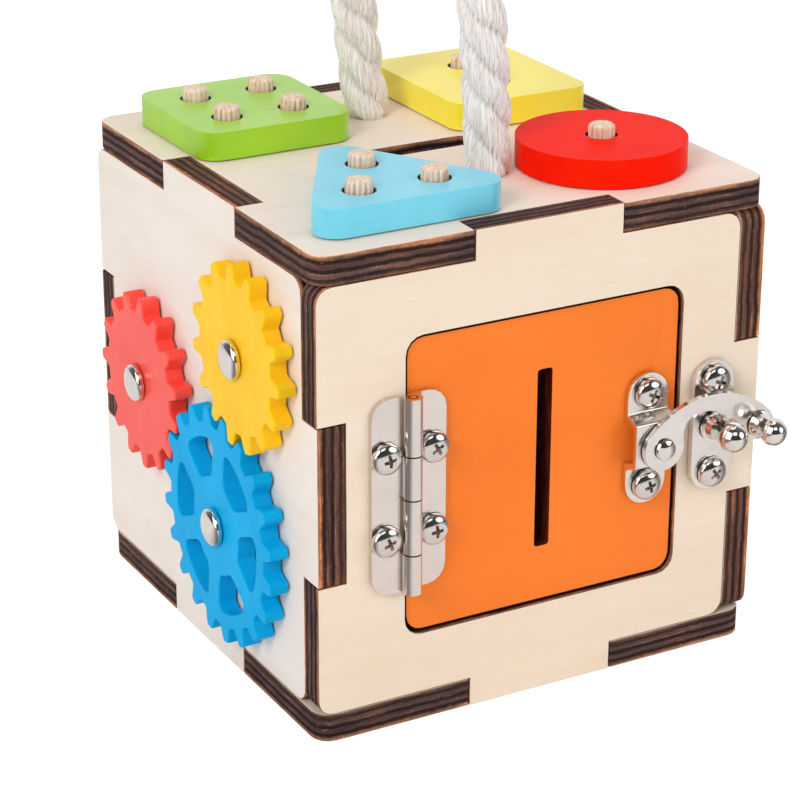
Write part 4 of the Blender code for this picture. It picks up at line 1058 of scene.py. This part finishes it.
def make_box():
    """The six panels: thin axis, outer face, way in, grain axis, birch and burn."""
    walls = (
        ("front", 1, -HALF, 1, 0, FRONT_BIRCH, DARK_BURN),
        ("back", 1, HALF, -1, 0, FRONT_BIRCH, DARK_BURN),
        ("left", 0, -HALF, 1, 1, LEFT_BIRCH_PAINTED_LIGHT, BROWN_BURN),
        ("right", 0, HALF, -1, 1, FRONT_BIRCH, BROWN_BURN),
        ("top", 2, CUBE_SIDE, -1, 0, TOP_BIRCH, DARK_BURN),
        ("bottom", 2, 0.0, 1, 0, FRONT_BIRCH, DARK_BURN),
    )
    for side, *build in walls:
        burnt = in_doorway if side == "front" else None
        name = side + "_panel"
        dressed(name, plywood(name + "_ply", *build), "box", PLY_EASE, burnt=burnt)


def make_door(paint, steel):
    """The door and the hinge that it swings on."""
    dressed("door_panel", paint, "door", DOOR_EASE)
    dressed("hinge_frame_leaf", steel, "box", LEAF_EASE)
    dressed("hinge_door_leaf", steel, "door", LEAF_EASE)
    painted(NODES["hinge_pin"].data, steel)


def screw_mesh():
    """Pan head with a cross recess, its axis along -Y and its seat at the origin."""
    crown = domed(SCREW_RADIUS, SCREW_RIM, SCREW_HEIGHT, power=SCREW_FULLNESS)
    shank = [(SHANK_RADIUS, 0), (SHANK_RADIUS, SHANK_RADIUS - SHANK_LENGTH), (0, -SHANK_LENGTH)]
    span = CROSS_SPAN / 2
    width = CROSS_WIDTH / 2
    arm = [Vector(corner) for corner in ((span, -width), (span, width), (width, width))]
    cross = []
    for quarter in range(4):
        turn = Matrix.Rotation(quarter * pi / 2, 2)
        cross += [tuple(turn @ corner) for corner in arm]
    cutter_mesh = plate_mesh([cross], 2 * CROSS_DEPTH)
    for vertex in cutter_mesh.vertices:
        if vertex.co.z < CROSS_DEPTH:
            vertex.co.x *= CROSS_TAPER
            vertex.co.y *= CROSS_TAPER
    cutter_mesh.transform(Matrix.Translation((0, 0, SCREW_HEIGHT - CROSS_DEPTH)))
    cutter = added("cross", cutter_mesh)
    body = added("screw", turned_mesh(crown + shank))
    cut = body.modifiers.new("Cross", "BOOLEAN")
    cut.operation = "DIFFERENCE"
    cut.object = cutter
    mesh = evaluated(body)
    bpy.data.objects.remove(cutter)
    # Faces inside the cross recess are marked for painted shade.
    recess_shade_mark = mesh.attributes.new("recess", "FLOAT", "FACE")
    for face, mark in zip(mesh.polygons, recess_shade_mark.data):
        out = hypot(face.center.x, face.center.y)
        surface = next((height for radius, height in crown if radius >= out), 0.0)
        mark.value = float(out < span and 0 < face.center.z < surface - RECESS_MARGIN)
    mesh.transform(Matrix.Rotation(pi / 2, 4, "X"))
    mesh.shade_smooth()
    mesh.set_sharp_from_angle(angle=SHARP_ANGLE)
    return mesh


def make_screws(tree, material):
    """The hinge's and the latch's screws, one mesh on the frame and one on the door."""
    for side, body in (("frame", "box"), ("door", "door")):
        names = [f"{fitting}_{side}_screw_{end}"
                 for fitting in ("hinge", "latch") for end in ("lower", "upper")]
        places = []
        for name in names:
            low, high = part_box(name)
            places.append(((low[0] + high[0]) / 2, low[1] + SCREW_HEIGHT, (low[2] + high[2]) / 2))
        turns = [radians(angle) for angle in CROSS_TURNS[side]]
        mesh = stand(tree, screw_mesh(), (0, -1, 0), places, turns, material)
        piece(f"{side}_screws", mesh, material, body, names)


def make_latch(satin, bright):
    dressed("latch_door_plate", satin, "door", BRIDGE_EASE, 3)
    dressed("latch_frame_plate", satin, "box", PLATE_EASE, 3)
    dressed("latch_arm", satin, "latch_arm", PLATE_EASE, 3)
    for name, body in (("finger_knob", "latch_arm"), ("stud", "box"), ("pivot_rivet", "door")):
        dressed("latch_" + name, bright, body, TURNED_EASE)


def gear_train():
    """Teeth, pitch radius, phase and centre of each gear; the followers mesh with the blue driver."""
    driver_pitch = PITCH_DISTANCE * DRIVER_TEETH / (DRIVER_TEETH + FOLLOWER_TEETH)
    train = {"blue": (DRIVER_TEETH, driver_pitch, DRIVER_PHASE, DRIVER_PLACE)}
    for name, direction in FOLLOWER_DIRECTIONS.items():
        phase = (direction + pi + (direction - DRIVER_PHASE) * DRIVER_TEETH / FOLLOWER_TEETH
                 - pi / FOLLOWER_TEETH)
        centre = (DRIVER_PLACE[0] + PITCH_DISTANCE * cos(direction),
                  DRIVER_PLACE[1] + PITCH_DISTANCE * sin(direction))
        train[name] = (FOLLOWER_TEETH, PITCH_DISTANCE - driver_pitch, phase, centre)
    return train


def make_gears(paints, axle_metal, nut_metal):
    tree = gear_tree()
    axle_profile = domed(AXLE_HEAD_RADIUS, AXLE_HEAD_RIM, AXLE_HEAD_HEIGHT)
    axle_profile += [(AXLE_RADIUS, 0), (AXLE_RADIUS, -AXLE_LENGTH), (0, -AXLE_LENGTH)]
    for name, (teeth, pitch, phase, centre) in gear_train().items():
        tip = pitch + (TOOTH_HEIGHT - TIP_CLEARANCE) / 2
        mesh = grown(tree, added("gear", bpy.data.meshes.new("gear")), {
            "Teeth": teeth, "Tip Radius": tip, "Root Radius": tip - TOOTH_HEIGHT, "Phase": phase,
            "Bore Radius": AXLE_RADIUS + GAP, "Thickness": GEAR_THICKNESS,
            "Windows": WINDOWS if name == "blue" else 0, "Material": paints[name]})
        mesh = eased(weld(mesh), GEAR_EDGE, 3, EASED_GEAR_ANGLE)
        mesh.transform(left_matrix(*centre, GEAR_GAP))
        gear = f"{name}_gear"
        piece(gear + "_wheel", mesh, paints[name], gear, [gear])
        axle = turned_mesh(axle_profile)
        axle.transform(left_matrix(*centre, 2 * GEAR_GAP + GEAR_THICKNESS))
        piece(f"{name}_axle_pin", axle, axle_metal, "box", [gear + "_axle"])
        painted(NODES[gear + "_nut"].data, nut_metal)


def peg_groups():
    """Middle of each block, and the places of its pegs about that middle."""
    shift = SQUARE_PEG_SPACING / 2
    ring = TRIANGLE_PEG_SPACING / sqrt(3)
    row = RECTANGLE_PEG_SPACING / 2
    return {
        "green_square": (SQUARE_PLACE, [(shift * x, shift * y) for x, y in CORNERS]),
        "blue_triangle": (TRIANGLE_PLACE, arc(0, 0, ring, pi / 2, pi / 2 + tau, 3)[:-1]),
        "yellow_rectangle": (RECTANGLE_PLACE, ((0, -row), (0, row))),
        "red_disc": (DISC_PLACE, ((0, 0),)),
    }


def peg_mesh():
    """Dowel with a rounded end and uneven flutes, which are deepest at its wall."""
    length = PLY + PEG_RISE
    profile = [(0, length)]
    for step in range(PEG_ROUNDING_STEPS + 1):
        angle = pi / 2 * (1 - step / PEG_ROUNDING_STEPS)
        profile.append((PEG_RADIUS - PEG_ROUNDING + PEG_ROUNDING * cos(angle),
                        length - PEG_ROUNDING_HEIGHT * (1 - sin(angle))))
    profile += [(PEG_RADIUS, length - PEG_RING_SHARE * PEG_RISE), (PEG_RADIUS, 0), (0, 0)]
    mesh = turned_mesh(profile, PEG_FLUTES * PEG_FLUTE_SIDES)
    groove_shade_mark = mesh.attributes.new("groove", "FLOAT", "POINT")
    for vertex, mark in zip(mesh.vertices, groove_shade_mark.data):
        x, y, _ = vertex.co
        radius = hypot(x, y)
        if radius < PEG_RADIUS * PEG_PLAIN_SHARE:
            continue
        around = atan2(y, x)
        uneven = 1 - PEG_UNEVENNESS + PEG_UNEVENNESS * sin(5 * around + 1.0) * cos(3 * around)
        groove = abs(cos(around * PEG_FLUTES / 2)) ** 4 * uneven
        out = min(1.0, (radius / PEG_RADIUS) ** 5)
        depth = PEG_FLUTE_DEPTH * groove * out
        # The flutes are marked for painted shade, strongest where a flute is deepest.
        mark.value = PEG_GROOVE_SHADE * groove ** 2 * out
        vertex.co.x -= depth * x / radius
        vertex.co.y -= depth * y / radius
    return mesh


def make_pegs(tree, material):
    places = []
    turns = []
    replaced = []
    for block, (middle, pegs) in peg_groups().items():
        for number, (x, y) in enumerate(pegs, 1):
            places.append((middle[0] + x, middle[1] + y, CUBE_SIDE - PLY))
            turns.append(PEG_TURN * len(places))
            replaced.append(f"{block}_peg_{number}")
    mesh = stand(tree, peg_mesh(), (0, 0, 1), places, turns, material)
    piece("pegs", mesh, material, "box", replaced)


def make_blocks(paints):
    corner_ring = (TRIANGLE_WIDTH - 2 * TRIANGLE_RADIUS) / sqrt(3) + 2 * TRIANGLE_RADIUS
    corners = arc(0, 0, corner_ring, pi / 2, pi / 2 + tau, 3)[:-1]
    outlines = {
        "green_square": rounded_box(SQUARE_SIDE, SQUARE_SIDE, SQUARE_RADIUS),
        "blue_triangle": rounded([(x, y, TRIANGLE_RADIUS) for x, y in corners]),
        "yellow_rectangle": rounded_box(*RECTANGLE_SIZE, RECTANGLE_RADIUS),
        "red_disc": circle(0, 0, DISC_RADIUS, 2 * FINE_SIDES),
    }
    for block, (middle, pegs) in peg_groups().items():
        holes = [circle(x, y, BLOCK_HOLE_RADIUS) for x, y in pegs]
        mesh = eased(plate_mesh([outlines[block]] + holes, BLOCK_THICKNESS), BLOCK_EDGE, 4)
        # Marks the peg-hole walls for the painted shade of the gap round each peg.
        mark_burnt(mesh, lambda corners: any(
            max(hypot(place.x - x, place.y - y) for place in corners) < PEG_GAP_SHADE_RADIUS for x, y in pegs))
        mesh.transform(Matrix.Translation((*middle, CUBE_SIDE + GAP)))
        piece(f"{block}_shape", mesh, paints[block], f"{block}_block", [f"{block}_block"])


def main():
    make_camera()
    make_studio()
    make_floor()
    make_rope(cotton("rope_cotton"))
    make_box()
    hinge_steel = metal("hinge_steel", "F0E6E0", 0.20, 2)
    bright = metal("bright_plate", "EFEAE6", 0.06)
    make_door(painted_ply("door_orange", "FF842E", "F87D27", 1, 0), hinge_steel)
    stood = stood_tree()
    make_screws(stood, metal("screw_plate", "E6E1DD", 0.11))
    make_latch(metal("satin_plate", "F2EBE6", 0.20), bright)
    make_gears({gear: painted_wood(*paint) for gear, paint in GEAR_PAINTS.items()}, bright, hinge_steel)
    make_pegs(stood, bare_beech("peg_beech"))
    make_blocks({block: painted_wood(*paint) for block, paint in BLOCK_PAINTS.items()})


main()
